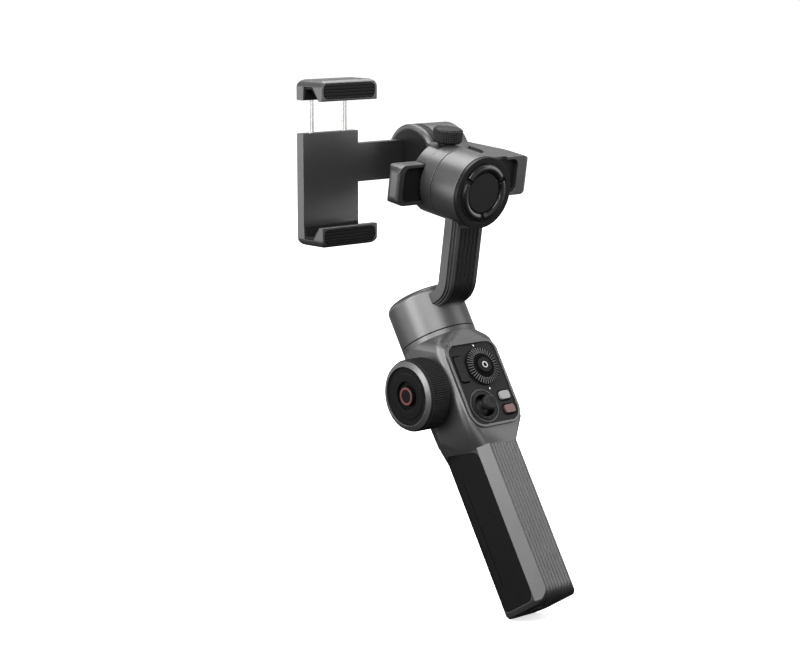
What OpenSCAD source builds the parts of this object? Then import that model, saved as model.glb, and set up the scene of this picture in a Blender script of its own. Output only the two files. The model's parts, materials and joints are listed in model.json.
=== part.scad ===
// Hand-held three-axis phone gimbal with control handle, three motors and a spring clamp.
// Origin at the mouth of the tripod thread, +Z up, the user stands on the -Y side.

/* [Stance] */
// Forward lean of the handle in degrees
lean = 31.7; // [26:0.1:36]
// Dip of the roll axis toward the user in degrees
dip = 8.7; // [5:0.1:12]
// Handle length from the base to the pan seam
handle_len = 148; // [145:1:170]
// Height of the head's centre above the pan seam
head_up = 88.9; // [87:0.1:96]
// Distance of the head's centre ahead of the pan seam
head_fwd = 30.8; // [27:0.1:33]

/* [Handle] */
// Width of the grip
grip_w = 28; // [27:0.5:31]
// Front of the grip from the pan axis
grip_front = 17.5; // [17:0.1:19]
// Back of the grip from the pan axis
grip_back = 16.9; // [16:0.1:18]
// Width of the ribbed flat on the grip's front
flat_w = 18.6; // [15:0.1:19]
// Width of one lengthwise groove
rib_groove_w = 0.8; // [0.5:0.1:1.1]
// Depth of the lengthwise grooves
rib_groove_d = 0.4; // [0.3:0.1:0.8]
// Number of lengthwise grooves
rib_grooves = 9; // [5:1:9]
// Corner radius of the grip's back
grip_round = 8; // [6:0.1:9]
// Half width of the head section
head_half = 19.5; // [19:0.1:22]
// Front of the head section from the pan axis
head_front = 19.5; // [19:0.1:21]
// Back of the head section from the pan axis
head_back = 16; // [15.5:0.1:19]
// Drop from the pan seam to the full head section
head_start = 9; // [8:0.1:10]
// Drop from the pan seam to the end of the head section
head_end = 53.5; // [52:0.5:55]
// Drop from the pan seam to the start of the grip section
grip_start = 64; // [60:0.5:68]
// Wall of the handle shells
shell_wall = 3.2; // [2.8:0.1:3.6]
// Distance of the parting plane behind the pan axis
parting = 5; // [4.6:0.1:6]
// Thickness of the base cap
base_t = 3; // [2:0.5:5]
// Thickness of the rubber side grips
rubber_t = 1.5; // [1:0.1:1.8]
// Radius of the tripod insert
insert_r = 6; // [5:0.1:7]
// Length of the tripod insert
insert_len = 10; // [8:0.5:14]
// Radius of the tripod thread's wall
thread_r = 2.6; // [2.5:0.01:3.2]
// Radius of the battery cell
cell_r = 9.2; // [8:0.1:9.4]
// Length of the battery cell
cell_len = 65; // [50:1:66]
// Thickness of the circuit boards
board_t = 1.6; // [1:0.1:2]
// Radius of the shell screws' shanks
screw_r = 1.2; // [1:0.1:1.4]
// Radius of the shell screws' heads
screw_head_r = 2.3; // [2:0.1:2.5]

/* [Controls] */
// Width of the control panel
panel_w = 32; // [31:0.1:33]
// Drop from the pan seam to the panel's top edge
panel_top = 11.6; // [11.3:0.1:12.2]
// Drop from the pan seam to the panel's bottom edge
panel_low = 55; // [54:0.1:55.5]
// Thickness of the control panel
panel_t = 2.3; // [2:0.1:2.6]
// Stand of the panel proud of the head
panel_proud = 0.3; // [0.1:0.1:0.6]
// Radius of the dial as a share of the panel's width
dial_share = 0.32; // [0.3:0.01:0.33]
// Height of the dial
dial_h = 2; // [1.5:0.1:3]
// Number of grip notches round the dial
dial_teeth = 40; // [24:1:48]
// Radius of the dial's centre button
dial_button_r = 4; // [3.5:0.1:4.4]
// Radius of the joystick's cap
stick_r = 4; // [3.8:0.1:5]
// Height of the joystick above the panel
stick_h = 6; // [5.5:0.1:8]
// Outer radius of the ring round the joystick
stick_ring_r = 7.4; // [7.2:0.1:7.6]
// Radius of the well round the joystick
stick_well_r = 6; // [5.7:0.1:6.6]
// Width of the mode and record buttons
key_w = 6.5; // [5:0.1:6.8]
// Height of the mode and record buttons
key_h = 4.3; // [3.5:0.1:5]
// Stand of the keys proud of the panel
key_proud = 1.2; // [1:0.1:2]
// Width of the menu rocker
rocker_w = 5.4; // [4.5:0.1:5.8]
// Length of the menu rocker
rocker_len = 13.6; // [10:0.1:14.5]
// Half width of the trigger
trigger_half = 5.5; // [4:0.1:6.5]
// Radius of the trigger's pin
trigger_pin_r = 1.2; // [1:0.1:1.5]

/* [Hand wheel] */
// Radius of the hand wheel
wheel_r = 18.5; // [17.5:0.1:18.8]
// Thickness of the wheel's rim
wheel_t = 12.6; // [11:0.1:13]
// Radial depth of the wheel's rim
wheel_rim_d = 2.8; // [2.2:0.1:3.2]
// Number of knurls on the rim
wheel_teeth = 72; // [48:1:90]
// Depth of the rim's knurls
knurl_d = 0.5; // [0.2:0.1:0.7]
// Thickness of the bright ring
ring_t = 1.6; // [1:0.1:2.2]
// Radius of the wheel's axle
axle_r = 4; // [3.6:0.1:4.4]
// Radius of the wheel's centre button
wheel_button_r = 5; // [4.6:0.1:5.6]

/* [Motors] */
// Outer radius of the pan motor
pan_r = 20; // [19.4:0.1:20.4]
// Height of the pan rotor's shell
pan_h = 24; // [23:0.1:26]
// Edge rounding of the pan rotor
pan_round = 3.5; // [2:0.1:4]
// Outer radius of the roll motor
roll_r = 18.6; // [18.2:0.1:19.2]
// Distance of the roll cover's face from the head's centre
roll_face = 65.4; // [65:0.1:68]
// Distance of the roll seam from the head's centre
roll_seam = 45.4; // [45:0.1:46]
// Distance of the roll rotor's back from the head's centre
roll_back = 37.5; // [37.4:0.1:38]
// Thickness of the roll cover
cover_t = 2.4; // [2:0.1:3]
// Outer radius of the tilt motor
tilt_r = 18.6; // [18.2:0.1:19.2]
// Left face of the tilt motor
tilt_left = 12.9; // [12.6:0.1:14]
// Right end of the tilt motor
tilt_right = 39.8; // [39:0.1:41]
// Length of the tilt rotor's shell
tilt_rotor_len = 7; // [6:0.1:9]
// Wall of the motor shells
motor_wall = 1.8; // [1.5:0.1:2]
// Radius of the motor shafts
shaft_r = 2.5; // [2:0.1:3]
// Outer radius of the bearings
bearing_r = 5; // [4.5:0.1:5.4]
// Width of one bearing
bearing_w = 4; // [3:0.1:5]
// Outer radius of the bearing tubes
tube_r = 6.5; // [6.2:0.1:7]
// Outer radius of the stators
stator_r = 13.4; // [12:0.1:13.8]
// Length of the stators
stator_len = 8; // [6:0.1:9]
// Thickness of the magnets
magnet_t = 1; // [0.8:0.1:1.2]
// Number of magnets in each motor
magnets = 14; // [10:2:16]
// Number of teeth on each stator
stator_teeth = 12; // [9:3:12]

/* [Pan arm] */
// Width of the pan arm
arm_w = 21.6; // [19:0.1:22]
// Thickness of the pan arm
arm_t = 7.5; // [6.5:0.1:8.5]
// Distance of the arm's centre line from the head's centre
arm_s = 54.2; // [53:0.1:55]
// Bend radius of the arm's centre line
arm_bend = 12; // [10:0.5:14]
// Height of the arm's foot on the pan rotor
arm_foot = 15.5; // [14:0.1:16]
// Chamfer of the arm's front edges
arm_chamfer = 2; // [1:0.1:2.5]
// Width of the ribbed insert
arm_insert_w = 13.4; // [11:0.1:15]
// Thickness of the ribbed insert
arm_insert_t = 1.2; // [0.8:0.1:1.6]
// Number of ribs on the insert
arm_ribs = 5; // [3:1:6]

/* [Slide] */
// Thickness of the slide bar
bar_t = 10; // [9:0.1:10.4]
// Height of the slide bar
bar_h = 21; // [20:0.1:22]
// Left end of the slide bar
bar_left = 33; // [31:0.5:36]
// Right end of the slide bar
bar_right = 58.5; // [56:0.5:60]
// Offset of the bar's middle above the roll axis
bar_rise = -1; // [-1.6:0.1:0]
// Frame width round the bar's dark insert
bar_frame = 1.6; // [1:0.1:2]
// Depth of the bar's dark insert below the face
bar_sink = 2.2; // [1:0.1:3]
// Corner radius of the bar
bar_round = 5; // [3:0.1:6]
// Wall of the slide clamp
clamp_wall = 7; // [6:0.1:8]
// Depth of the slide clamp's full round
clamp_round_t = 7.5; // [7:0.1:8.5]
// Left side of the slide clamp's back
clamp_left = 4; // [3.6:0.1:6]
// Radius of the lock knob
knob_r = 7.7; // [6.5:0.1:8.5]
// Height of the lock knob
knob_h = 7.5; // [6:0.1:9]
// Number of knurls on the lock knob
knob_teeth = 30; // [20:1:36]
// Radius of the lock knob's screw
knob_screw_r = 2.5; // [2:0.1:3]

/* [Clamp] */
// Distance of the tilt axis ahead of the head's centre
tilt_fwd = 7; // [6.5:0.1:7.5]
// Height of the tilt axis above the head's centre
tilt_up = 1.1; // [0.5:0.1:1.5]
// Width of the jaws
jaw_w = 36.5; // [34:0.5:38]
// Right side of the jaws
jaw_right = 18; // [17.6:0.1:20]
// Depth of the jaws from front lip to back
jaw_d = 20.3; // [20:0.1:22]
// Front of the jaws
jaw_front = 3; // [2.6:0.1:3.4]
// Height of one jaw
jaw_h = 10.6; // [10:0.1:12]
// Lip of the upper jaw above the head's centre
upper_lip = 34.9; // [34:0.1:36]
// Lip of the lower jaw below the head's centre
lower_lip = 29.1; // [28.5:0.1:30]
// Depth of the grip groove in each jaw
groove_d = 7; // [6.4:0.1:7.2]
// Front of the clamp's back plate
plate_front = 12.2; // [12:0.1:13]
// Thickness of the clamp's back plate
plate_t = 5.1; // [5:0.1:6]
// Thickness of the rubber liners
pad_t = 1.2; // [0.8:0.1:1.5]
// Corner radius of the jaws
jaw_round = 3.5; // [2:0.1:4]
// Height of the clamp body above the head's centre
body_top = 18; // [16:0.5:20]
// Radius of the guide rods
rod_r = 1.5; // [1.2:0.1:1.8]
// Distance between the guide rods
rod_span = 22; // [18:0.5:26]

/* [Fits] */
// Gap between pieces that move past each other
gap = 0.3; // [0.25:0.01:0.4]
// Gap of a seated piece in its pocket
seat = 0.05; // [0.03:0.01:0.08]
// Radial running fit of shafts and pins
run_fit = 0.05; // [0.03:0.01:0.08]

/* [Hidden] */

// Smoothness of true rounds
round_fn = 64;
// Steps along a rounded corner
corner_steps = 6;
// Thickness of a blend's end slice
slice = 0.02;
// Overrun of a cut past the face it opens
over = 1;

// Places of the handle pieces
head_wall = 3.6;
neck_drop = 3;
head_front_round = 5;
head_back_round = 11;
head_low_round = 12;
waist_run = 14;
head_waist = head_end - waist_run;
head_full = head_start + 2.5;
shoulder = [[head_start - 2, 1.6], [head_start, 0.5], [head_full, 0]];
bevel_side = 1;
bevel_drop = 4.2;
rib_top = 65;
base_round = 7;
base_rim = 2.2;
rib_low = handle_len - base_round;
lip_h = 2.6;
lip_proud = 1.5;
lip_left = 13;
lip_right = 9;
base_inset = 1;
base_edge = 1.8;
core_wall = 0.6;
cavity_inset = shell_wall + core_wall;
cavity_half = grip_w / 2 - cavity_inset;
cavity_back = grip_back - cavity_inset;
cavity_front = grip_front - cavity_inset - 1.2;
cavity_round = 3;
head_cavity_half = head_half - head_wall;
head_cavity_back = head_back - head_wall;
rubber_top_back = 59;
rubber_top_front = 66;
rubber_low = handle_len - base_rim - 0.6;
rubber_front = grip_front - bevel_drop - bevel_side - gap;
rubber_back = grip_back - 4;
rubber_corner = 5;
boss_r = insert_r + 2;
boss_top = base_t + insert_len;
foot_in = boss_r + 1;
foot_h = 6;
cell_y = cavity_back - cell_r - gap;
cell_low = handle_len - boss_top - gap;
board_half = cavity_half - gap;
board_y = cell_y - cell_r - gap - board_t;
board_low = handle_len - boss_top - 1;
board_len = 66;
control_board_f = 8;
screw_x = head_half - head_wall - screw_head_r;
screw_drops = [head_start + 4.5, head_waist];
screw_boss_r = screw_r + 2;
screw_seat_y = head_cavity_back - 1;
screw_deep = 6;
screw_head_t = 1.6;
control_board_top = 12;
control_board_len = 40;

// Places of the controls on the panel
panel_f = head_front + panel_proud;
panel_back = panel_f - panel_t;
panel_round_top = 5;
panel_round_low = 7;
panel_rim = 1.3;
panel_rim_proud = 0.9;
panel_edge = 1.2;
panel_ledge = 0.8;
dial_r = dial_share * panel_w;
dial_edge = 2.96;
stick_edge = 3.3;
key_edge = 2.75;
rocker_edge = 2.1;
dial_x = panel_w / 2 - dial_edge - dial_r;
dial_fall = 13;
dial_drop = panel_top + dial_fall;
dial_foot = 13;
dial_stem_r = dial_button_r + gap + 1.2;
dial_flange_r = dial_stem_r + 1;
dial_flange_t = 1;
dial_rim_fall = 0.8;
dial_notch = 0.35;
stick_x = stick_edge + stick_ring_r - panel_w / 2;
stick_rise = 9.8;
stick_drop = panel_low - stick_rise;
stick_bevel = 0.6;
stick_crown = 1.2;
stick_dish = 0.5;
stick_ring_h = 0.6;
stick_pivot = 13.2;
stick_stem_r = 1.8;
stick_cap_h = 3.2;
stick_ball_r = 2.4;
skirt_r = 6.2;
skirt_t = 0.6;
skirt_turn = 50;
cradle_in = stick_ball_r + gap;
cradle_out = cradle_in + 1.4;
cradle_t = 2.4;
pivot_r = 0.6;
post_t = 1.5;
post_out = cradle_out + gap;
stick_floor = stick_pivot - stick_ball_r - gap;
key_x = panel_w / 2 - key_edge - key_w / 2;
mode_rise = 13.4;
mode_drop = panel_low - mode_rise;
record_rise = 5.8;
record_drop = panel_low - record_rise;
key_round = 1.2;
key_stem_r = 1.5;
rocker_x = rocker_edge + rocker_w / 2 - panel_w / 2;
rocker_fall = 12.8;
rocker_drop = panel_top + rocker_fall;
rocker_proud = 0.8;
rocker_round = 1.2;
rocker_pivot = panel_back - 2.6;
rocker_pin_r = 0.7;
rocker_room = 0.8;
rocker_plate = panel_back + 0.8;
rocker_post_w = 1.2;
rocker_post_r = 1.5;
rocker_ear_t = 1;
light_fall = 1.1;
light_off = 12;
light_drops = [panel_top + light_fall, dial_drop + light_off];
light_x = dial_x;
light_w = 0.7;
light_h = 0.9;
light_t = 0.8;
trigger_drop = 17;
trigger_len = 22;
trigger_pivot_y = head_back - 4.5;
trigger_proud = 4.2;
trigger_t = 3.4;
trigger_eye_r = trigger_pin_r + 1.3;
trigger_ear_t = 3;
key_throw = 0.8;

// Places of the hand wheel
wheel_drop = 27.7;
wheel_f = 1;
flange_r = 10;
flange_t = 2;
flange_out = head_half + seat + flange_t;
wheel_back = flange_out + gap;
wheel_front = wheel_back + wheel_t;
rim_in = wheel_r - wheel_rim_d;
ring_out = wheel_r - 0.8;
ring_foot = 0.35;
face_rise = 0.6;
face_ring_r = 11.6;
face_ring_h = 0.4;
button_throw = 1;
wheel_button_t = 3.6;
ring_in = rim_in - 0.6;
face_step = 1.2;
face_groove_r = 7.6;
button_pocket_r = wheel_button_r + gap;
axle_end = wheel_front - 3.4;
axle_bore = 2.8;
wheel_button_stem = axle_bore - gap;

// Places of the motors
seam_gap = 0.5;
rotor_plate = 2.5;
rotor_bevel = 1.2;
rotor_flush = 0.1;
shaft_sink = 1.5;
housing_wall = 2.2;
carrier_t = 0.9;
pan_top_t = 4;
pan_tube_top = pan_h - pan_top_t - 1;
pan_stator_low = 4;
tube_floor = 1;
stator_core = tube_r + 2.4;
stator_slot = 2.4;
magnet_fill = 0.84;
cover_edge = 0.3;
cover_ring_r = 15;
cover_line = 0.4;
cover_groove = 1.5;
cover_arcs = 3;
cover_start = 30;
cover_break = 16;
badge_r = 10;
badge_sink = 0.2;

// Places of the pan arm in the plane of the roll and pan axes
arm_angle = lean + dip;
arm_turn = 90 - arm_angle;
pan_s = head_fwd * cos(dip) + head_up * sin(dip);
pan_z = head_fwd * sin(dip) - head_up * cos(dip);
arm_low = pan_z + (arm_foot + arm_bend * (1 - cos(arm_turn))
  + (arm_s - pan_s) * sin(arm_angle)) / cos(arm_angle);
arm_reach = 14;
arm_steps = 10;
arm_top = roll_r - 6;
insert_start = roll_r + 1;
arm_end = (arm_s - pan_s) * cos(arm_angle) + (arm_low - pan_z) * sin(arm_angle)
  - arm_bend * sin(arm_turn);
insert_reach = arm_end - pan_r - gap;
insert_groove = 0.9;
insert_groove_d = 0.6;

// Places of the slide
bar_front = roll_back - 0.5;
bar_back = bar_front - bar_t;
bar_mid_x = (bar_right - bar_left) / 2;
bar_len = bar_right + bar_left;
bar_top = bar_rise + bar_h / 2;
bar_low = bar_rise - bar_h / 2;
bar_end = 4;
bar_stop = 8.5;
bar_edge = 1.4;
window_x = (bar_right - bar_stop - bar_left + bar_end) / 2;
window_w = bar_len - bar_end - bar_stop;
window_h = bar_h - 2 * bar_frame;
window_round = bar_round - bar_frame;
insert_plate_t = 0.8;
clamp_back_t = 3;
knob_seat = bar_top + gap + clamp_wall;
knob_neck_least = 0.8;
knob_x = 1.5;
knob_s = bar_front - bar_t / 2 + 0.6;
knob_neck_r = roll_back - gap - knob_s;
knob_neck_h = max(roll_r - knob_seat, knob_neck_least);
knob_groove = 0.45;
tilt_s = -(tilt_fwd * cos(dip) + tilt_up * sin(dip));
side_boss_r = 9.3;
side_boss_t = 2.4;
side_round = 11;
side_in = tilt_right + gap;
side_back = side_in + 3;
bar_nose = 3;
bar_back_round = 3.5;
notch_x = 33;
notch_w = 9;
notch_d = 2.2;

// Places of the clamp
jaw_left = jaw_right + jaw_w;
jaw_back = jaw_d - jaw_front;
jaw_mid = (upper_lip - lower_lip) / 2;
jaw_edge = 0.8;
jaw_corner = 4;
pad_in = 0.6;
groove_share = 0.75;
groove_front = 0.3;
groove_top_front = 5.4;
groove_top_back = plate_front - 1.4;
tread_in = 1.2;
tread_t = 0.9;
tread_low = 1;
tread_high = 1.6;
tread_round = 3;
tread_ribs = 5;
tread_rib_w = 0.7;
tread_rib_d = 0.6;
rod_y = plate_front + plate_t / 2;
rod_mid = jaw_right + jaw_w / 2;
rod_low = -14;
rod_sink = 5;
jaw_close = 13;
rod_floor = rod_low - jaw_close - over;
strut_half = 10;

shell_grey = [0.33, 0.34, 0.36];
dark = [0.12, 0.12, 0.13];
rubber = [0.08, 0.08, 0.08];
bright = [0.72, 0.73, 0.75];
steel = [0.6, 0.61, 0.63];
copper = [0.62, 0.4, 0.2];
board_green = [0.1, 0.3, 0.18];

// Points of an arc from one angle to another
function arc(cx, cy, r, from, to, steps = corner_steps) = [for (i = [0 : steps])
  [cx + r * cos(from + (to - from) * i / steps), cy + r * sin(from + (to - from) * i / steps)]];

// Points of a rounded corner between two edges whose outward normals stand at two angles
function corner(p, from, to, r) = let (k = r / (1 + cos(to - from)))
  arc(p[0] - k * (cos(from) + cos(to)), p[1] - k * (sin(from) + sin(to)), r, from, to);

// Rounded box outline about its middle
function box_points(w, h, r) = concat(
  arc(w / 2 - r, h / 2 - r, r, 0, 90),
  arc(r - w / 2, h / 2 - r, r, 90, 180),
  arc(r - w / 2, r - h / 2, r, 180, 270),
  arc(w / 2 - r, r - h / 2, r, 270, 360));

// Toothed outline with a given number of notches
function toothed_points(r, depth, teeth) = [for (i = [0 : teeth - 1], k = [0 : 3])
  let (a = (i + [0, 0.4, 0.5, 0.9][k]) * 360 / teeth, q = k < 2 ? r : r - depth)
  [q * cos(a), q * sin(a)]];

// Outline of the grip, drawn in by an inset
function grip_points(inset = 0) = concat(
  [[flat_w / 2, inset - grip_front],
   [grip_w / 2 - bevel_side - inset, inset + bevel_drop - grip_front],
   [grip_w / 2 - inset, inset + bevel_drop + bevel_side - grip_front]],
  arc(grip_w / 2 - grip_round, grip_back - grip_round, grip_round - inset, 0, 90),
  arc(grip_round - grip_w / 2, grip_back - grip_round, grip_round - inset, 90, 180),
  [[inset - grip_w / 2, inset + bevel_drop + bevel_side - grip_front],
   [inset + bevel_side - grip_w / 2, inset + bevel_drop - grip_front],
   [-flat_w / 2, inset - grip_front]]);

// Outline of the head, drawn in by an inset, with a given rounding of its back
function head_points(inset = 0, back_r = head_back_round) = concat(
  arc(head_half - head_front_round, head_front_round - head_front, head_front_round - inset, -90, 0),
  arc(head_half - back_r, head_back - back_r, back_r - inset, 0, 90),
  arc(back_r - head_half, head_back - back_r, back_r - inset, 90, 180),
  arc(head_front_round - head_half, head_front_round - head_front, head_front_round - inset, 180, 270));

// Outline of the panel, grown or drawn in
function panel_points(grow = 0) = concat(
  arc(panel_w / 2 - panel_round_top, -panel_top - panel_round_top, panel_round_top + grow, 0, 90),
  arc(panel_round_top - panel_w / 2, -panel_top - panel_round_top, panel_round_top + grow, 90, 180),
  arc(panel_round_low - panel_w / 2, panel_round_low - panel_low, panel_round_low + grow, 180, 270),
  arc(panel_w / 2 - panel_round_low, panel_round_low - panel_low, panel_round_low + grow, 270, 360));

// Handle frame: pan seam at zero, front of the handle toward -Y
module at_handle() {
  rotate([-lean, 0, 0])
    translate([0, 0, handle_len])
      children();
}

// Control frame: a place on the panel with local Z out of the front
module at_panel(x = 0, drop = 0) {
  at_handle()
    translate([x, 0, -drop])
      rotate([90, 0, 0])
        children();
}

// Wheel frame: local Z out of the left side along the wheel's axis
module at_wheel() {
  at_handle()
    translate([0, -wheel_f, -wheel_drop])
      rotate([0, -90, 0])
        children();
}

// Head frame: level, at the head's centre
module at_head() {
  translate([0, handle_len * sin(lean) + head_fwd, handle_len * cos(lean) + head_up])
    children();
}

// Roll frame: local Z along the roll axis toward the user, local Y up
module at_roll() {
  at_head()
    rotate([dip + 90, 0, 0])
      children();
}

// Tilt frame: local Z along the tilt axis to the right
module at_tilt() {
  at_head()
    translate([0, tilt_fwd, tilt_up])
      rotate([0, 90, 0])
        children();
}

module tube(r_out, r_in, h) {
  difference() {
    cylinder(r = r_out, h = h, $fn = round_fn);
    translate([0, 0, -over])
      cylinder(r = r_in, h = h + 2 * over, $fn = round_fn);
  }
}

module stator(h) {
  difference() {
    tube(stator_r, tube_r + seat, h);
    for (i = [0 : stator_teeth - 1])
      rotate([0, 0, i * 360 / stator_teeth])
        translate([stator_core, -stator_slot / 2, -over])
          cube([stator_r, stator_slot, h + 2 * over]);
  }
}

module magnet_set(r_out, h) {
  step = 360 / magnets;
  for (i = [0 : magnets - 1])
    rotate([0, 0, i * step])
      rotate_extrude(angle = step * magnet_fill, $fn = round_fn)
        translate([r_out - magnet_t, 0])
          square([magnet_t, h]);
}

module bearing_pair(low, high) {
  for (z = [low, high - bearing_w])
    translate([0, 0, z])
      tube(bearing_r - seat, shaft_r + run_fit, bearing_w);
}

module screw_places() {
  for (x = [-screw_x, screw_x], drop = screw_drops)
    translate([x, 0, -drop])
      rotate([90, 0, 0])
        children();
}

// Outer form of the handle from the neck to the base
module handle_solid() {
  hull() {
    translate([0, 0, -neck_drop - slice])
      cylinder(r = pan_r, h = slice, $fn = round_fn);
    for (step = shoulder)
      translate([0, 0, -step[0]])
        linear_extrude(slice)
          polygon(head_points(step[1]));
  }
  translate([0, 0, -head_waist])
    linear_extrude(head_waist - head_full)
      polygon(head_points());
  hull() {
    translate([0, 0, -head_waist])
      linear_extrude(slice)
        polygon(head_points());
    translate([0, 0, -head_end])
      linear_extrude(slice)
        polygon(head_points(0, head_low_round));
  }
  hull() {
    translate([0, 0, -head_end])
      linear_extrude(slice)
        polygon(head_points(0, head_low_round));
    translate([0, 0, -grip_start])
      linear_extrude(slice)
        polygon(grip_points());
  }
  translate([0, 0, base_edge - handle_len])
    linear_extrude(handle_len - base_edge - grip_start)
      polygon(grip_points());
  hull() {
    translate([0, 0, base_edge - handle_len])
      linear_extrude(slice)
        polygon(grip_points());
    translate([0, 0, -handle_len])
      linear_extrude(slice)
        polygon(grip_points(base_inset));
  }
}

module handle_cavity() {
  translate([0, 0, -head_end - panel_edge])
    linear_extrude(head_end + panel_edge - head_start)
      polygon(head_points(head_wall));
  difference() {
    translate([0, (cavity_back - cavity_front) / 2, -handle_len])
      linear_extrude(handle_len - head_end)
        polygon(box_points(2 * cavity_half, cavity_front + cavity_back, cavity_round));
    translate([-grip_w / 2, -grip_front, -handle_len - over])
      cube([grip_w, grip_front - boss_r - gap, foot_h + over]);
  }
  base_place(seat);
}

// Place of the base cap in the underside, grown by a fit
module base_place(grow = 0) {
  run = foot_in + grip_back - base_rim;
  below = grow > 0 ? over : 0;
  translate([0, run / 2 - foot_in, -handle_len - below])
    linear_extrude(base_t + below)
      polygon(box_points(grip_w - 2 * base_rim + 2 * grow, run + 2 * grow, grip_round - base_rim + grow));
}

// Cut that rounds the front edge of the base
module base_front_cut() {
  translate([-grip_w, base_round - grip_front, base_round - handle_len])
    rotate([90, 0, 90])
      linear_extrude(2 * grip_w)
        difference() {
          translate([-base_round - over, -base_round - over])
            square(base_round + over);
          circle(r = base_round, $fn = round_fn);
        }
}

// Side region of a rubber grip, grown by a fit
module rubber_region(grow = 0) {
  slope = atan((rubber_top_front - rubber_top_back) / (rubber_front + rubber_back));
  r = rubber_corner + grow;
  front = -rubber_front - grow;
  back = rubber_back + grow;
  low = -rubber_low - grow;
  rotate([90, 0, 90])
    linear_extrude(grip_w)
      polygon(concat(
        corner([back, low], -90, 0, r),
        corner([back, grow - rubber_top_back], 0, 90 + slope, r),
        corner([front, grow - rubber_top_front], 90 + slope, 180, r),
        corner([front, low], 180, 270, r)));
}

// Skin of a side grip on the right side of the handle
module rubber_skin(depth, grow = 0) {
  intersection() {
    rubber_region(grow);
    difference() {
      handle_solid();
      translate([0, 0, -handle_len])
        linear_extrude(handle_len)
          polygon(grip_points(depth));
    }
  }
}

module rubber_recess() {
  for (side = [0, 1])
    mirror([side, 0, 0])
      difference() {
        rubber_region(seat);
        translate([0, 0, -handle_len])
          linear_extrude(handle_len)
            polygon(grip_points(rubber_t + seat));
      }
}

module half_space(front) {
  translate([-handle_len, front ? parting - 2 * handle_len : parting, -handle_len - over])
    cube([2 * handle_len, 2 * handle_len, 2 * handle_len]);
}

module front_shell() {
  color(shell_grey)
    at_handle()
      difference() {
        union() {
          difference() {
            intersection() {
              handle_solid();
              half_space(true);
            }
            handle_cavity();
          }
          rotate([90, 0, 0])
            translate([0, 0, panel_back])
              linear_extrude(head_front + panel_rim_proud - panel_back)
                polygon(panel_points(panel_rim));
          translate([-lip_left, -head_front - lip_proud, seat - panel_top])
            cube([lip_left + lip_right, lip_proud + over, lip_h]);
          screw_places()
            translate([0, 0, -parting])
              cylinder(r = screw_boss_r, h = parting + screw_deep, $fn = round_fn);
        }
        rubber_recess();
        panel_cut();
        base_front_cut();
        grip_grooves();
        translate([0, -wheel_f, -wheel_drop])
          rotate([0, -90, 0])
            cylinder(r = axle_r + seat, h = head_half + over, $fn = round_fn);
        screw_places()
          translate([0, 0, -parting - over])
            cylinder(r = screw_r + seat, h = parting + over + screw_deep - 1, $fn = round_fn);
      }
}

// Seat of the panel and the opening behind it
module panel_cut() {
  rotate([90, 0, 0]) {
    translate([0, 0, panel_back])
      linear_extrude(panel_t + over)
        polygon(panel_points(seat));
    linear_extrude(head_front)
      polygon(panel_points(-panel_ledge));
  }
}

module grip_grooves() {
  pitch = flat_w / rib_grooves;
  for (i = [0 : rib_grooves - 1])
    translate([(i + 0.5) * pitch - flat_w / 2 - rib_groove_w / 2, -grip_front, 0]) {
      translate([0, -over, -rib_low - seat])
        cube([rib_groove_w, over + rib_groove_d, rib_low + seat - rib_top]);
      translate([0, base_round, -rib_low])
        rotate([0, 90, 0])
          rotate([0, 0, -90])
            rotate_extrude(angle = 90, $fn = round_fn)
              translate([base_round - rib_groove_d, 0])
                square([rib_groove_d + over, rib_groove_w]);
    }
}

module rear_shell() {
  color(shell_grey)
    at_handle()
      difference() {
        union() {
          difference() {
            intersection() {
              handle_solid();
              half_space(false);
            }
            handle_cavity();
          }
          screw_places()
            translate([0, 0, -head_cavity_back - over])
              cylinder(r = screw_boss_r, h = head_cavity_back + over - parting, $fn = round_fn);
          for (side = [-1, 1])
            translate([side * (trigger_half + gap + trigger_ear_t / 2), trigger_pivot_y, -trigger_drop])
              trigger_ear();
        }
        rubber_recess();
        screw_places() {
          translate([0, 0, -head_back])
            cylinder(r = screw_r + seat, h = head_back, $fn = round_fn);
          translate([0, 0, -head_back - over])
            cylinder(r = screw_head_r + seat, h = head_back + over - screw_seat_y, $fn = round_fn);
        }
        translate([-trigger_half - gap, parting + over, -trigger_drop - trigger_len - over])
          cube([2 * (trigger_half + gap), head_back, trigger_len + over + trigger_eye_r + gap]);
        translate([-head_cavity_half, trigger_pivot_y, -trigger_drop])
          rotate([0, 90, 0])
            cylinder(r = trigger_pin_r + seat, h = 2 * head_cavity_half, $fn = round_fn);
      }
}

module trigger_ear() {
  rotate([0, 90, 0])
    translate([0, 0, -trigger_ear_t / 2]) {
      cylinder(r = trigger_eye_r, h = trigger_ear_t, $fn = round_fn);
      translate([-trigger_eye_r, 0, 0])
        cube([2 * trigger_eye_r, head_back - trigger_pivot_y - 1, trigger_ear_t]);
    }
}

module left_grip() {
  color(rubber)
    at_handle()
      mirror([1, 0, 0])
        rubber_skin(rubber_t);
}

module right_grip() {
  color(rubber)
    at_handle()
      rubber_skin(rubber_t);
}

module base_cap() {
  color(dark)
    at_handle()
      difference() {
        union() {
          base_place();
          translate([0, 0, -handle_len])
            cylinder(r = boss_r, h = boss_top, $fn = round_fn);
        }
        translate([0, 0, -handle_len - over])
          cylinder(r = insert_r + seat, h = insert_len + over, $fn = round_fn);
      }
}

module tripod_insert() {
  color(steel)
    at_handle()
      translate([0, 0, -handle_len])
        tube(insert_r, thread_r, insert_len);
}

module shell_screws() {
  color(steel)
    at_handle()
      screw_places() {
        translate([0, 0, -screw_seat_y])
          cylinder(r = screw_r, h = screw_seat_y + screw_deep - 2, $fn = round_fn);
        translate([0, 0, -screw_seat_y - screw_head_t])
          cylinder(r = screw_head_r, h = screw_head_t, $fn = round_fn);
      }
}

module key_outline(grow = 0) {
  linear_extrude(panel_f + stick_h)
    polygon(box_points(key_w + 2 * grow, key_h + 2 * grow, key_round + grow));
}

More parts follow.
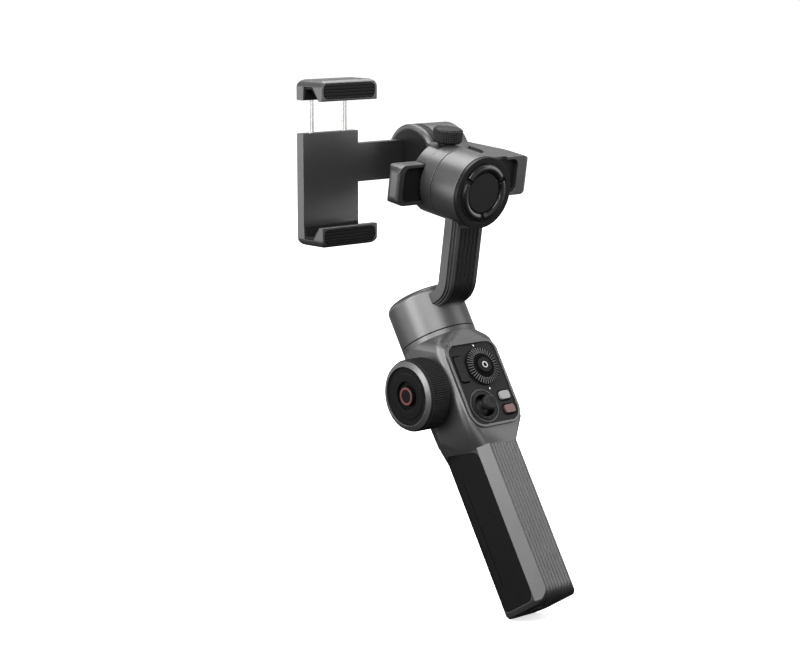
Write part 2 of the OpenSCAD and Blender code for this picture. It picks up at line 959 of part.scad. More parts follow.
module control_panel() {
  color(dark)
    difference() {
      union() {
        at_panel()
          translate([0, 0, panel_back])
            linear_extrude(panel_t)
              polygon(panel_points());
        at_panel(stick_x, stick_drop)
          translate([0, 0, panel_back])
            cylinder(r = stick_ring_r, h = panel_t + stick_ring_h, $fn = round_fn);
      }
      at_panel(dial_x, dial_drop)
        cylinder(r = dial_stem_r + gap, h = panel_f + over, $fn = round_fn);
      at_panel(stick_x, stick_drop)
        cylinder(r = stick_well_r, h = panel_f + over, $fn = round_fn);
      for (drop = [mode_drop, record_drop])
        at_panel(key_x, drop)
          key_outline(gap);
      at_panel(rocker_x, rocker_drop)
        linear_extrude(panel_f + over)
          polygon(box_points(rocker_w + 2 * gap, rocker_len + 2 * rocker_room, rocker_round));
      light_places()
        translate([0, 0, panel_f - light_t - seat])
          linear_extrude(light_t + over)
            square([light_w + 2 * seat, light_h + 2 * seat], center = true);
    }
}

module light_places() {
  for (drop = light_drops)
    at_panel(light_x, drop)
      children();
}

module indicator_lights() {
  color("white")
    light_places()
      translate([0, 0, panel_f - light_t])
        linear_extrude(light_t)
          square([light_w, light_h], center = true);
}

module control_board() {
  color(board_green)
    difference() {
      union() {
        at_panel(0, control_board_top + control_board_len / 2)
          translate([0, 0, control_board_f])
            linear_extrude(board_t)
              square([2 * (head_cavity_half - gap), control_board_len], center = true);
        at_panel(rocker_x, rocker_drop)
          translate([0, 0, control_board_f])
            linear_extrude(rocker_pivot + rocker_post_r - control_board_f)
              square([rocker_post_w, 2 * rocker_post_r], center = true);
      }
      at_panel(rocker_x, rocker_drop)
        translate([-rocker_w, 0, rocker_pivot])
          rotate([0, 90, 0])
            cylinder(r = rocker_pin_r + run_fit, h = 2 * rocker_w, $fn = round_fn);
    }
}

module main_board() {
  color(board_green)
    at_handle()
      translate([-board_half, board_y, -board_low])
        cube([2 * board_half, board_t, board_len]);
}

module battery_cell() {
  color([0.2, 0.35, 0.6])
    at_handle()
      translate([0, cell_y, -cell_low])
        cylinder(r = cell_r, h = cell_len, $fn = round_fn);
}

module joystick_base() {
  color(dark)
    difference() {
      at_panel(stick_x, stick_drop) {
        translate([0, 0, control_board_f + board_t])
          linear_extrude(stick_floor - control_board_f - board_t)
            square([2 * (post_out + post_t), 2 * cradle_out], center = true);
        for (side = [-1, 1])
          translate([side * (post_out + post_t / 2), 0, control_board_f + board_t])
            linear_extrude(stick_pivot + cradle_t / 2 - control_board_f - board_t)
              square([post_t, cradle_t], center = true);
      }
      at_panel(stick_x, stick_drop)
        translate([-post_out - post_t - over, 0, stick_pivot])
          rotate([0, 90, 0])
            cylinder(r = pivot_r + run_fit, h = 2 * (post_out + post_t + over), $fn = round_fn);
    }
}

module trigger_pin() {
  color(steel)
    at_handle()
      translate([-trigger_half - gap - trigger_ear_t, trigger_pivot_y, -trigger_drop])
        rotate([0, 90, 0])
          cylinder(r = trigger_pin_r, h = 2 * (trigger_half + gap + trigger_ear_t), $fn = round_fn);
}

module wheel_axle() {
  color(dark)
    at_wheel()
      difference() {
        union() {
          translate([0, 0, head_half - head_wall - over])
            cylinder(r = axle_r, h = axle_end - head_half + head_wall + over, $fn = round_fn);
          translate([0, 0, head_half + seat])
            cylinder(r = flange_r, h = flange_t, $fn = round_fn);
        }
        cylinder(r = axle_bore, h = axle_end + over, $fn = round_fn);
      }
}

module pan_base() {
  color(shell_grey)
    at_handle()
      difference() {
        union() {
          translate([0, 0, -neck_drop])
            cylinder(r = pan_r, h = neck_drop - seam_gap, $fn = round_fn);
          translate([0, 0, -neck_drop])
            cylinder(r = tube_r, h = pan_tube_top + neck_drop, $fn = round_fn);
        }
        translate([0, 0, tube_floor])
          cylinder(r = bearing_r, h = pan_h, $fn = round_fn);
      }
}

module pan_stator() {
  color(copper)
    at_handle()
      translate([0, 0, pan_stator_low])
        stator(stator_len);
}

module pan_bearings() {
  color(steel)
    at_handle()
      bearing_pair(tube_floor, pan_tube_top);
}

module wheel_rim() {
  color(rubber)
    at_wheel()
      difference() {
        translate([0, 0, wheel_back])
          linear_extrude(wheel_t)
            polygon(toothed_points(wheel_r, knurl_d, wheel_teeth));
        translate([0, 0, wheel_back - over])
          cylinder(r = rim_in, h = wheel_t + 2 * over, $fn = round_fn);
      }
}

module wheel_ring() {
  color(bright)
    at_wheel()
      translate([0, 0, wheel_front])
        rotate_extrude($fn = round_fn)
          polygon([[ring_in, 0], [ring_out, 0], [ring_out, ring_foot], [ring_in, ring_t]]);
}

module wheel_face() {
  color(dark)
    at_wheel()
      rotate_extrude($fn = round_fn)
        polygon([[axle_r + run_fit, wheel_back], [rim_in - seat, wheel_back],
          [rim_in - seat, wheel_front - seat], [ring_in - seat, wheel_front - seat],
          [ring_in - seat, wheel_front + face_rise],
          [face_ring_r, wheel_front + face_rise],
          [face_ring_r, wheel_front + face_rise + face_ring_h],
          [face_groove_r, wheel_front + face_rise + face_ring_h],
          [face_groove_r, wheel_front + face_rise - face_step],
          [button_pocket_r, wheel_front + face_rise - face_step],
          [button_pocket_r, axle_end + gap], [axle_r + run_fit, axle_end + gap]]);
}

module wheel_button() {
  color(dark)
    at_wheel() {
      translate([0, 0, axle_end + button_throw + gap])
        cylinder(r = wheel_button_r, h = wheel_button_t, $fn = round_fn);
      translate([0, 0, head_half])
        cylinder(r = wheel_button_stem, h = axle_end + button_throw + over - head_half, $fn = round_fn);
    }
}

module control_dial() {
  color(dark)
    at_panel(dial_x, dial_drop)
      difference() {
        union() {
          translate([0, 0, panel_f + gap])
            linear_extrude(dial_h - dial_rim_fall)
              polygon(toothed_points(dial_r, dial_notch, dial_teeth));
          translate([0, 0, panel_f + gap])
            cylinder(r = dial_r - dial_notch - dial_rim_fall, h = dial_h, $fn = round_fn);
          translate([0, 0, dial_foot])
            cylinder(r = dial_stem_r, h = panel_f + gap - dial_foot, $fn = round_fn);
          translate([0, 0, panel_back - gap - dial_flange_t])
            cylinder(r = dial_flange_r, h = dial_flange_t, $fn = round_fn);
        }
        cylinder(r = dial_button_r + gap, h = panel_f + gap + dial_h + over, $fn = round_fn);
      }
}

module dial_button() {
  color(rubber)
    at_panel(dial_x, dial_drop)
      translate([0, 0, control_board_f + board_t + key_throw + gap])
        cylinder(r = dial_button_r,
          h = panel_f + gap + dial_h - control_board_f - board_t - gap, $fn = round_fn);
}

module joystick() {
  color(rubber)
    at_panel(stick_x, stick_drop) {
      translate([0, 0, stick_pivot]) {
        sphere(r = stick_ball_r, $fn = round_fn);
        rotate_extrude($fn = round_fn)
          polygon(concat(arc(0, 0, skirt_r, 90 - skirt_turn, 90),
            arc(0, 0, skirt_r - skirt_t, 90, 90 - skirt_turn)));
        rotate([90, 0, 0])
          translate([0, 0, -cradle_out])
            cylinder(r = pivot_r, h = 2 * cradle_out, $fn = round_fn);
        cylinder(r = stick_stem_r, h = panel_f + stick_h - stick_cap_h / 2 - stick_pivot, $fn = round_fn);
      }
      translate([0, 0, panel_f + stick_h - stick_cap_h])
        rotate_extrude($fn = round_fn)
          polygon(concat([[0, 0], [stick_r - stick_bevel, 0], [stick_r, stick_bevel]],
            arc(stick_r - stick_crown, stick_cap_h - stick_crown, stick_crown, 0, 90),
            [[0, stick_cap_h - stick_dish]]));
    }
}

module joystick_cradle() {
  color(steel)
    at_panel(stick_x, stick_drop)
      translate([0, 0, stick_pivot])
        difference() {
          union() {
            translate([0, 0, -cradle_t / 2])
              tube(cradle_out, cradle_in, cradle_t);
            for (side = [0, 180])
              rotate([0, 0, side])
                translate([cradle_in + post_t / 2, 0, 0])
                  rotate([0, 90, 0])
                    cylinder(r = pivot_r, h = post_out + post_t - cradle_in - post_t / 2,
                      $fn = round_fn);
          }
          rotate([90, 0, 0])
            translate([0, 0, -cradle_out - over])
              cylinder(r = pivot_r + run_fit, h = 2 * (cradle_out + over), $fn = round_fn);
        }
}

module key(drop) {
  at_panel(key_x, drop) {
    translate([0, 0, panel_back])
      linear_extrude(panel_t + key_proud)
        polygon(box_points(key_w, key_h, key_round));
    translate([0, 0, control_board_f + board_t + key_throw + gap])
      cylinder(r = key_stem_r, h = panel_back - control_board_f - board_t - key_throw - gap, $fn = round_fn);
  }
}

module mode_button() {
  color(bright)
    key(mode_drop);
}

module record_button() {
  color([0.5, 0.22, 0.18])
    key(record_drop);
}

module menu_rocker() {
  color(rubber)
    at_panel(rocker_x, rocker_drop) {
      translate([0, 0, rocker_plate])
        linear_extrude(panel_f + rocker_proud - rocker_plate)
          polygon(box_points(rocker_w, rocker_len, rocker_round));
      for (side = [-1, 1])
        translate([side * (rocker_post_w / 2 + gap + rocker_ear_t / 2), 0, rocker_pivot - rocker_pin_r])
          linear_extrude(rocker_plate + over / 2 - rocker_pivot + rocker_pin_r)
            square([rocker_ear_t, 2 * rocker_post_r], center = true);
      translate([-rocker_post_w / 2 - gap - rocker_ear_t / 2, 0, rocker_pivot])
        rotate([0, 90, 0])
          cylinder(r = rocker_pin_r, h = rocker_post_w + 2 * gap + rocker_ear_t, $fn = round_fn);
    }
}

module trigger() {
  low = -trigger_drop - trigger_len;
  color(dark)
    at_handle()
      difference() {
        translate([-trigger_half, 0, 0])
          rotate([90, 0, 90])
            linear_extrude(2 * trigger_half)
              polygon(concat(
                arc(trigger_pivot_y, -trigger_drop, trigger_eye_r, 90, 270),
                [[head_back - trigger_t / 2, low],
                 [head_back + trigger_proud - trigger_t / 2, low],
                 [head_back + trigger_proud, low + trigger_t],
                 [head_back + trigger_proud, -trigger_drop - trigger_t],
                 [head_back + trigger_proud - trigger_t, trigger_eye_r - trigger_drop]]));
        translate([-head_half, trigger_pivot_y, -trigger_drop])
          rotate([0, 90, 0])
            cylinder(r = trigger_pin_r + run_fit, h = 2 * head_half, $fn = round_fn);
      }
}

// Rotor of a motor from its outer face past the seam into the housing
module motor_rotor(r, face, seam, end, bevel = rotor_bevel) {
  difference() {
    union() {
      translate([0, 0, face])
        rotate_extrude($fn = round_fn)
          polygon([[0, 0], [r - bevel, 0], [r, bevel], [r, seam - face],
            [r - motor_wall, seam - face], [r - motor_wall, rotor_plate], [0, rotor_plate]]);
      translate([0, 0, face + rotor_plate / 2])
        tube(r - motor_wall - gap, r - motor_wall - gap - carrier_t,
          end - housing_wall - over - face - rotor_plate / 2);
    }
    translate([0, 0, face + rotor_plate - shaft_sink])
      cylinder(r = shaft_r + seat, h = end - face, $fn = round_fn);
  }
}

// Housing of a motor from the seam to its closed end, with the bearing tube
module motor_housing(r, face, seam, end) {
  difference() {
    union() {
      translate([0, 0, seam + seam_gap])
        tube(r, r - motor_wall, end - seam - seam_gap);
      translate([0, 0, end - housing_wall])
        cylinder(r = r - motor_wall / 2, h = housing_wall, $fn = round_fn);
      translate([0, 0, face + rotor_plate + over])
        cylinder(r = tube_r, h = end - face - rotor_plate - over, $fn = round_fn);
    }
    translate([0, 0, face])
      cylinder(r = bearing_r, h = end - housing_wall - face, $fn = round_fn);
  }
}

module motor_shaft(face, end) {
  translate([0, 0, face + rotor_plate - shaft_sink])
    cylinder(r = shaft_r, h = end - housing_wall - gap - face - rotor_plate + shaft_sink, $fn = round_fn);
}

module motor_magnets(r, seam) {
  translate([0, 0, seam + over])
    magnet_set(r - motor_wall - gap - carrier_t - seat, stator_len);
}

module pan_rotor() {
  color(shell_grey)
    at_handle()
      rotate_extrude($fn = round_fn)
        polygon(concat([[pan_r, 0]],
          arc(pan_r - pan_round, pan_h - pan_round, pan_round, 0, 90),
          [[0, pan_h], [0, pan_h - over], [shaft_r + seat, pan_h - over],
           [shaft_r + seat, pan_h - pan_top_t],
           [pan_r - motor_wall, pan_h - pan_top_t], [pan_r - motor_wall, 0]]));
}

module pan_magnets() {
  color(steel)
    at_handle()
      translate([0, 0, pan_stator_low])
        magnet_set(pan_r - motor_wall - seat, stator_len);
}

module pan_shaft() {
  color(steel)
    at_handle()
      translate([0, 0, tube_floor + gap])
        cylinder(r = shaft_r, h = pan_h - over - seat - tube_floor - gap, $fn = round_fn);
}

// Side profile of the pan arm's band between two distances from its centre line
function arm_band(inner, outer, top, reach) = concat(
  [[arm_s + inner, top], [arm_s + outer, top]],
  [for (i = [0 : arm_steps]) let (t = arm_turn * i / arm_steps)
    [arm_s - arm_bend + (arm_bend + outer) * cos(t), arm_low - (arm_bend + outer) * sin(t)]],
  [[arm_s - arm_bend + (arm_bend + outer) * cos(arm_turn) - reach * sin(arm_turn),
    arm_low - (arm_bend + outer) * sin(arm_turn) - reach * cos(arm_turn)],
   [arm_s - arm_bend + (arm_bend + inner) * cos(arm_turn) - reach * sin(arm_turn),
    arm_low - (arm_bend + inner) * sin(arm_turn) - reach * cos(arm_turn)]],
  [for (i = [arm_steps : -1 : 0]) let (t = arm_turn * i / arm_steps)
    [arm_s - arm_bend + (arm_bend + inner) * cos(t), arm_low - (arm_bend + inner) * sin(t)]]);

module arm_slab(w, inner, outer, top, reach) {
  at_roll()
    rotate([0, -90, 0])
      translate([0, 0, -w / 2])
        linear_extrude(w)
          polygon(arm_band(inner, outer, top, reach));
}

module pan_arm() {
  color(shell_grey)
    difference() {
      union() {
        arm_slab(arm_w, -arm_t / 2, arm_t / 2 - arm_chamfer, -arm_top, arm_reach);
        arm_slab(arm_w - arm_chamfer, -arm_t / 2, arm_t / 2 - arm_chamfer / 2, -arm_top, arm_reach);
        arm_slab(arm_w - 2 * arm_chamfer, -arm_t / 2, arm_t / 2, -arm_top, arm_reach);
      }
      at_roll()
        cylinder(r = roll_r + seat, h = roll_face, $fn = round_fn);
      at_handle()
        translate([0, 0, -over])
          cylinder(r = pan_r + seat, h = pan_h + over, $fn = round_fn);
      arm_slab(arm_insert_w + 2 * seat, arm_t / 2 - arm_insert_t - seat, arm_t, -insert_start + seat,
        insert_reach + seat);
    }
}

module arm_insert() {
  color(rubber)
    difference() {
      arm_slab(arm_insert_w, arm_t / 2 - arm_insert_t, arm_t / 2, -insert_start, insert_reach);
      for (i = [0 : arm_ribs - 1])
        translate([(i - (arm_ribs - 1) / 2) * arm_insert_w / arm_ribs, 0, 0])
          arm_slab(insert_groove, arm_t / 2 - insert_groove_d, arm_t, -insert_start - over,
            insert_reach - over);
    }
}

module roll_housing() {
  color(shell_grey)
    at_roll()
      motor_housing(roll_r, roll_back, roll_seam, roll_face - cover_t);
}

module roll_stator() {
  color(copper)
    at_roll()
      translate([0, 0, roll_seam + over])
        stator(stator_len);
}

module roll_bearings() {
  color(steel)
    at_roll()
      bearing_pair(roll_back + rotor_plate + over, roll_face - cover_t - housing_wall);
}

module roll_cover() {
  base = cover_t / 2;
  color(dark)
    at_roll()
      translate([0, 0, roll_face - cover_t]) {
        cylinder(r = roll_r - cover_edge, h = base, $fn = round_fn);
        translate([0, 0, base])
          tube(roll_r - cover_edge, cover_ring_r + cover_line, cover_t / 3);
        for (i = [0 : cover_arcs - 1])
          translate([0, 0, base])
            rotate([0, 0, cover_start + i * 360 / cover_arcs])
              rotate_extrude(angle = 360 / cover_arcs - cover_break, $fn = round_fn)
                translate([badge_r + cover_groove, 0])
                  square([cover_ring_r - badge_r - cover_groove, base]);
      }
}

module roll_badge() {
  color(dark)
    at_roll()
      translate([0, 0, roll_face - cover_t / 2])
        cylinder(r = badge_r, h = cover_t / 2 - badge_sink, $fn = round_fn);
}

module roll_rotor() {
  color(shell_grey)
    at_roll()
      motor_rotor(roll_r, roll_back, roll_seam, roll_face - cover_t, rotor_flush);
}

module roll_magnets() {
  color(steel)
    at_roll()
      motor_magnets(roll_r, roll_seam);
}

module roll_shaft() {
  color(steel)
    at_roll()
      motor_shaft(roll_back, roll_face - cover_t);
}

module slide_clamp() {
  back = bar_back - gap - clamp_back_t;
  color(shell_grey)
    difference() {
      at_roll()
        translate([0, 0, back])
          cylinder(r = roll_r, h = roll_back - back, $fn = round_fn);
      at_roll() {
        translate([-roll_r, knob_seat, back - over])
          cube([2 * roll_r, roll_r, roll_back - back + 2 * over]);
        translate([-clamp_left - roll_r, -roll_r, back - over])
          cube([roll_r, 2 * roll_r, roll_back - clamp_round_t - back + over]);
        translate([-bar_right, bar_low - gap, bar_back - gap])
          cube([2 * bar_right, bar_h + 2 * gap, roll_back]);
      }
      at_knob()
        cylinder(r = knob_screw_r + run_fit, h = knob_seat + over, $fn = round_fn);
    }
}

// Knob frame: local Z up along the lock knob's axis
module at_knob() {
  at_roll()
    translate([knob_x, 0, knob_s])
      rotate([-90, 0, 0])
        children();
}

module lock_knob() {
  color(rubber)
    at_knob() {
      translate([0, 0, knob_seat + gap + knob_neck_h])
        linear_extrude(knob_h)
          polygon(toothed_points(knob_r, knob_groove, knob_teeth));
      translate([0, 0, knob_seat + gap])
        cylinder(r = knob_neck_r, h = knob_neck_h, $fn = round_fn);
      translate([0, 0, bar_top + gap])
        cylinder(r = knob_screw_r, h = knob_seat - bar_top + over, $fn = round_fn);
    }
}

// Top view of the bar and the side arm, local X right, local Y toward the user
module slide_plan() {
  polygon(concat(
    corner([-bar_left, bar_back], 180, 270, bar_round),
    arc(side_in - side_round, bar_back - side_round, side_round, 90, 0),
    [[side_in, tilt_s], [side_back, tilt_s]],
    corner([bar_right, bar_front], 0, 90, bar_nose),
    corner([-bar_left, bar_front], 90, 180, bar_edge)));
}

// Cuts that round the bar's back edges
module bar_back_edges() {
  r = bar_back_round;
  for (side = [0, 1])
    translate([0, bar_rise, 0])
      mirror([0, side, 0])
        translate([-bar_left - over, bar_h / 2 - r, bar_back + r])
          rotate([90, 0, 90])
            linear_extrude(bar_left + side_in - side_round)
              difference() {
                translate([0, -r - over])
                  square(r + over);
                circle(r = r, $fn = round_fn);
              }
}

module slide_bar() {
  color(shell_grey)
    difference() {
      union() {
        intersection() {
          at_roll()
            translate([0, bar_low, 0])
              rotate([-90, 0, 0])
                mirror([0, 1, 0])
                  linear_extrude(bar_h)
                    slide_plan();
          at_roll()
            translate([bar_mid_x, bar_rise, tilt_s - over])
              linear_extrude(bar_front - tilt_s + 2 * over)
                polygon(box_points(bar_len, bar_h, bar_round));
        }
        at_tilt()
          translate([0, 0, tilt_right])
            cylinder(r = side_boss_r, h = side_boss_t, $fn = round_fn);
      }
      at_roll()
        translate([window_x, bar_rise, bar_front - bar_sink - insert_plate_t])
          linear_extrude(bar_t)
            polygon(box_points(window_w + 2 * seat, window_h + 2 * seat, window_round + seat));
      at_roll()
        bar_back_edges();
      at_roll()
        translate([notch_x, bar_top - notch_d, bar_front - notch_d])
          cube([notch_w, notch_d + over, notch_d + over]);
    }
}

module bar_insert() {
  color(rubber)
    at_roll()
      translate([window_x, bar_rise, bar_front - bar_sink - insert_plate_t])
        linear_extrude(insert_plate_t)
          polygon(box_points(window_w, window_h, window_round));
}

module tilt_housing() {
  color(shell_grey)
    at_tilt()
      motor_housing(tilt_r, tilt_left, tilt_left + tilt_rotor_len, tilt_right);
}

module tilt_stator() {
  color(copper)
    at_tilt()
      translate([0, 0, tilt_left + tilt_rotor_len + over])
        stator(stator_len);
}

module tilt_bearings() {
  color(steel)
    at_tilt()
      bearing_pair(tilt_left + rotor_plate + over, tilt_right - housing_wall);
}

module tilt_rotor() {
  color(dark)
    at_tilt()
      motor_rotor(tilt_r, tilt_left, tilt_left + tilt_rotor_len, tilt_right);
}

module tilt_magnets() {
  color(steel)
    at_tilt()
      motor_magnets(tilt_r, tilt_left + tilt_rotor_len);
}

module tilt_shaft() {
  color(steel)
    at_tilt()
      motor_shaft(tilt_left, tilt_right);
}

// Groove of a jaw in side view, grown by a lining
function groove_points(grow = 0) = [
  [groove_front - groove_share * grow, upper_lip - over],
  [groove_front - groove_share * grow, upper_lip],
  [groove_top_front - groove_share * grow, upper_lip + groove_d - pad_t + grow],
  [groove_top_back + groove_share * grow, upper_lip + groove_d - pad_t + grow],
  [plate_front, upper_lip],
  [plate_front, upper_lip - over]];

// Side views are drawn in the plane of Y and Z and drawn out to the left
module side_draw(from, w) {
  translate([-from - w, 0, 0])
    rotate([90, 0, 90])
      linear_extrude(w)
        children();
}

// Side view of a jaw's outside, drawn out past both ends
module jaw_outside() {
  side_draw(jaw_right - over, jaw_w + 2 * over)
    polygon(concat(
      corner([-jaw_front, upper_lip], 180, 270, jaw_edge),
      corner([jaw_back, upper_lip], 270, 360, jaw_edge),
      corner([jaw_back, upper_lip + jaw_h], 0, 90, jaw_round),
      corner([-jaw_front, upper_lip + jaw_h], 90, 180, jaw_round)));
}

module jaw_shape() {
  half = jaw_w / 2;
  difference() {
    intersection() {
      jaw_outside();
      translate([-rod_mid, jaw_back + over, upper_lip])
        rotate([90, 0, 0])
          linear_extrude(jaw_d + 2 * over)
            polygon(concat([[-half, -over], [half, -over]],
              corner([half, jaw_h], 0, 90, jaw_corner),
              corner([-half, jaw_h], 90, 180, jaw_corner)));
    }
    side_draw(jaw_right - over, jaw_w + 2 * over)
      polygon(groove_points(pad_t + seat));
    tread_block(seat);
  }
}

module jaw_pad() {
  side_draw(jaw_right + pad_in, jaw_w - 2 * pad_in)
    difference() {
      polygon(groove_points(pad_t));
      polygon(groove_points(0));
      translate([-jaw_d, upper_lip - 2 * over])
        square([2 * jaw_d, 2 * over]);
    }
}

module tread_block(grow = 0) {
  w = jaw_w - 2 * tread_in + 2 * grow;
  h = jaw_h - tread_low - tread_high + 2 * grow;
  translate([-jaw_right - jaw_w / 2, tread_t - jaw_front + grow, upper_lip + tread_low - grow + h / 2])
    rotate([90, 0, 0])
      linear_extrude(tread_t + grow + (grow > 0 ? over : 0))
        polygon(box_points(w, h, tread_round));
}

module jaw_tread() {
  pitch = (jaw_h - tread_low - tread_high) / tread_ribs;
  difference() {
    intersection() {
      tread_block();
      jaw_outside();
    }
    for (i = [1 : tread_ribs - 1])
      translate([-jaw_right - jaw_w, -jaw_front - over, upper_lip + tread_low + i * pitch - tread_rib_w / 2])
        cube([jaw_w, over + tread_rib_d, tread_rib_w]);
  }
}

module rod_places() {
  for (side = [-1, 1])
    translate([side * rod_span / 2 - rod_mid, rod_y, 0])
      children();
}

// Lower side of the clamp: the upper form turned over about the phone's middle
module turned_over() {
  translate([0, 0, jaw_mid])
    mirror([0, 0, 1])
      translate([0, 0, -jaw_mid])
        children();
}

module clamp_body() {
  color(shell_grey)
    at_head()
      difference() {
        union() {
          turned_over()
            jaw_shape();
          translate([-jaw_left, plate_front, jaw_corner - lower_lip - jaw_h])
            cube([jaw_w, plate_t, body_top + lower_lip + jaw_h - jaw_corner]);
          translate([-jaw_left, plate_front, tilt_up - strut_half])
            cube([jaw_left + tilt_left, plate_t, 2 * strut_half]);
        }
        rod_places()
          translate([0, 0, rod_floor])
            cylinder(r = rod_r + run_fit, h = body_top - rod_floor + over, $fn = round_fn);
      }
}

module lower_jaw_pad() {
  color(rubber)
    at_head()
      turned_over()
        jaw_pad();
}

module lower_tread() {
  color(rubber)
    at_head()
      turned_over()
        jaw_tread();
}

module upper_jaw() {
  color(shell_grey)
    at_head()
      difference() {
        jaw_shape();
        rod_places()
          translate([0, 0, upper_lip - over])
            cylinder(r = rod_r + seat, h = rod_sink + over + seat, $fn = round_fn);
      }
}

module guide_rods() {
  color(steel)
    at_head()
      rod_places()
        translate([0, 0, rod_low])
          cylinder(r = rod_r, h = upper_lip + rod_sink - rod_low, $fn = round_fn);
}

module upper_jaw_pad() {
  color(rubber)
    at_head()
      jaw_pad();
}

module upper_tread() {
  color(rubber)
    at_head()
      jaw_tread();
}

front_shell();
rear_shell();
left_grip();
right_grip();
base_cap();
tripod_insert();
shell_screws();
control_panel();
indicator_lights();
control_board();
main_board();
battery_cell();
joystick_base();
trigger_pin();
wheel_axle();
pan_base();
pan_stator();
pan_bearings();
wheel_rim();
wheel_ring();
wheel_face();
wheel_button();
control_dial();
dial_button();
joystick();
joystick_cradle();
mode_button();
record_button();
menu_rocker();
trigger();
pan_rotor();
pan_magnets();
pan_shaft();
pan_arm();
arm_insert();
roll_housing();
roll_stator();
roll_bearings();
roll_cover();
roll_badge();
roll_rotor();
roll_magnets();
roll_shaft();
slide_clamp();
lock_knob();
slide_bar();
bar_insert();
tilt_housing();
tilt_stator();
tilt_bearings();
tilt_rotor();
tilt_magnets();
tilt_shaft();
clamp_body();
lower_jaw_pad();
lower_tread();
upper_jaw();
guide_rods();
upper_jaw_pad();
upper_tread();
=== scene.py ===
"""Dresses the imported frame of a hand-held phone gimbal for a studio picture."""

import json
import math

import bmesh
import bpy
from bpy.props import FloatProperty, FloatVectorProperty, IntProperty, PointerProperty
from mathutils import Matrix, Vector

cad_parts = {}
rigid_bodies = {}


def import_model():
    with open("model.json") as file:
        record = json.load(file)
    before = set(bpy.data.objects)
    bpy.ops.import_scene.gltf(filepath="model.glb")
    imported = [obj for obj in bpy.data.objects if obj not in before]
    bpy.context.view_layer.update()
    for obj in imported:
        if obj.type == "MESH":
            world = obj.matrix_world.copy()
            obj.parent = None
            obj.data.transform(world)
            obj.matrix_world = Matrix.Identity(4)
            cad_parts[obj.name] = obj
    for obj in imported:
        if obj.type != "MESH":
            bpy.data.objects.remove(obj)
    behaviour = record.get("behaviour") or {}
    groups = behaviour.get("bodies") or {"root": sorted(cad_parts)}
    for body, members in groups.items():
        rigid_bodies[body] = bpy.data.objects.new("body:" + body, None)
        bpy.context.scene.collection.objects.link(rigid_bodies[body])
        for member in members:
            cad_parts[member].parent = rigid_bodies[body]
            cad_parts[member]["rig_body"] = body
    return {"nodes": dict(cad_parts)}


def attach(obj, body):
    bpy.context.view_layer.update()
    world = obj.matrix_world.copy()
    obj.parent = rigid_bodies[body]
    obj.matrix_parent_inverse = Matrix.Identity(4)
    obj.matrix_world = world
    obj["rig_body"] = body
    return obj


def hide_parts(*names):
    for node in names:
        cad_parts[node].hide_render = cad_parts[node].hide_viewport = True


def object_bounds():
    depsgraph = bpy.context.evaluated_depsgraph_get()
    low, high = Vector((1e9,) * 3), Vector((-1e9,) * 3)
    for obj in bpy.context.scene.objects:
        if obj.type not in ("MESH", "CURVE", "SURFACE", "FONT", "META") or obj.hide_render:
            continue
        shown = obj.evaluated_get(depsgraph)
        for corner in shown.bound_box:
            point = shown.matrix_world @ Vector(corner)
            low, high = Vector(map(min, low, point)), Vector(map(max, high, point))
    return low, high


bl_info = {
    "name": "Phone Gimbal Finish",
    "version": (1, 0, 0),
    "blender": (4, 5, 0),
    "location": "3D View > Sidebar > Gimbal",
    "description": "Finishes the packed frame of a phone gimbal, piece by piece",
    "category": "Object",
}

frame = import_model()
CAD_BOX = [list(corner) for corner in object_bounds()]
MM = 0.001

# ---------------------------------------------------------------- places

LEAN = math.radians(31.7)  # of the handle, away from the user
DIP = math.radians(8.7)  # of the roll motor's axis
HANDLE_LENGTH = 148
HEAD_BACK, HEAD_UP = 30.8, 88.9  # from the handle's upper end to a point on the roll axis
DIAL_SPOT = (2.8, 24.6)  # across the panel, and down from the handle's upper end
STICK_SPOT = (-5.3, 45.2)


def shift(x, y, z):
    return Matrix.Translation((x * MM, y * MM, z * MM))


def turn(degrees, axis):
    return Matrix.Rotation(math.radians(degrees), 4, axis)


HANDLE = Matrix.Rotation(-LEAN, 4, "X") @ shift(0, 0, HANDLE_LENGTH)
WHEEL = HANDLE @ shift(0, -1, -27.7) @ turn(-90, "Y")  # local Z to the left
HEAD = shift(0, HANDLE_LENGTH * math.sin(LEAN) + HEAD_BACK,
             HANDLE_LENGTH * math.cos(LEAN) + HEAD_UP)
ROLL = HEAD @ Matrix.Rotation(DIP + math.pi / 2, 4, "X")  # local Z to the front
TILT = HEAD @ shift(0, 7, 1.1) @ turn(90, "Y")  # local Z to the right
KNOB = ROLL @ shift(1.5, 0, 32.6) @ turn(-90, "X")  # local Z up


def on_panel(x, drop):
    """A place on the control panel, local Z out of its front."""
    return HANDLE @ shift(x, 0, -drop) @ turn(90, "X")


# ---------------------------------------------------------------- settings


def colour(name, description, value):
    return FloatVectorProperty(
        name=name, description=description, default=value, size=3,
        subtype="COLOR", min=0, max=1)


def length(name, description, value):
    return FloatProperty(
        name=name, description=description, default=value * MM, min=0,
        precision=5, subtype="DISTANCE", unit="LENGTH")


def number(name, description, value, low=0.0, high=1.0):
    return FloatProperty(name=name, description=description, default=value, min=low, max=high)


def count(name, description, value):
    return IntProperty(name=name, description=description, default=value, min=3, max=400)


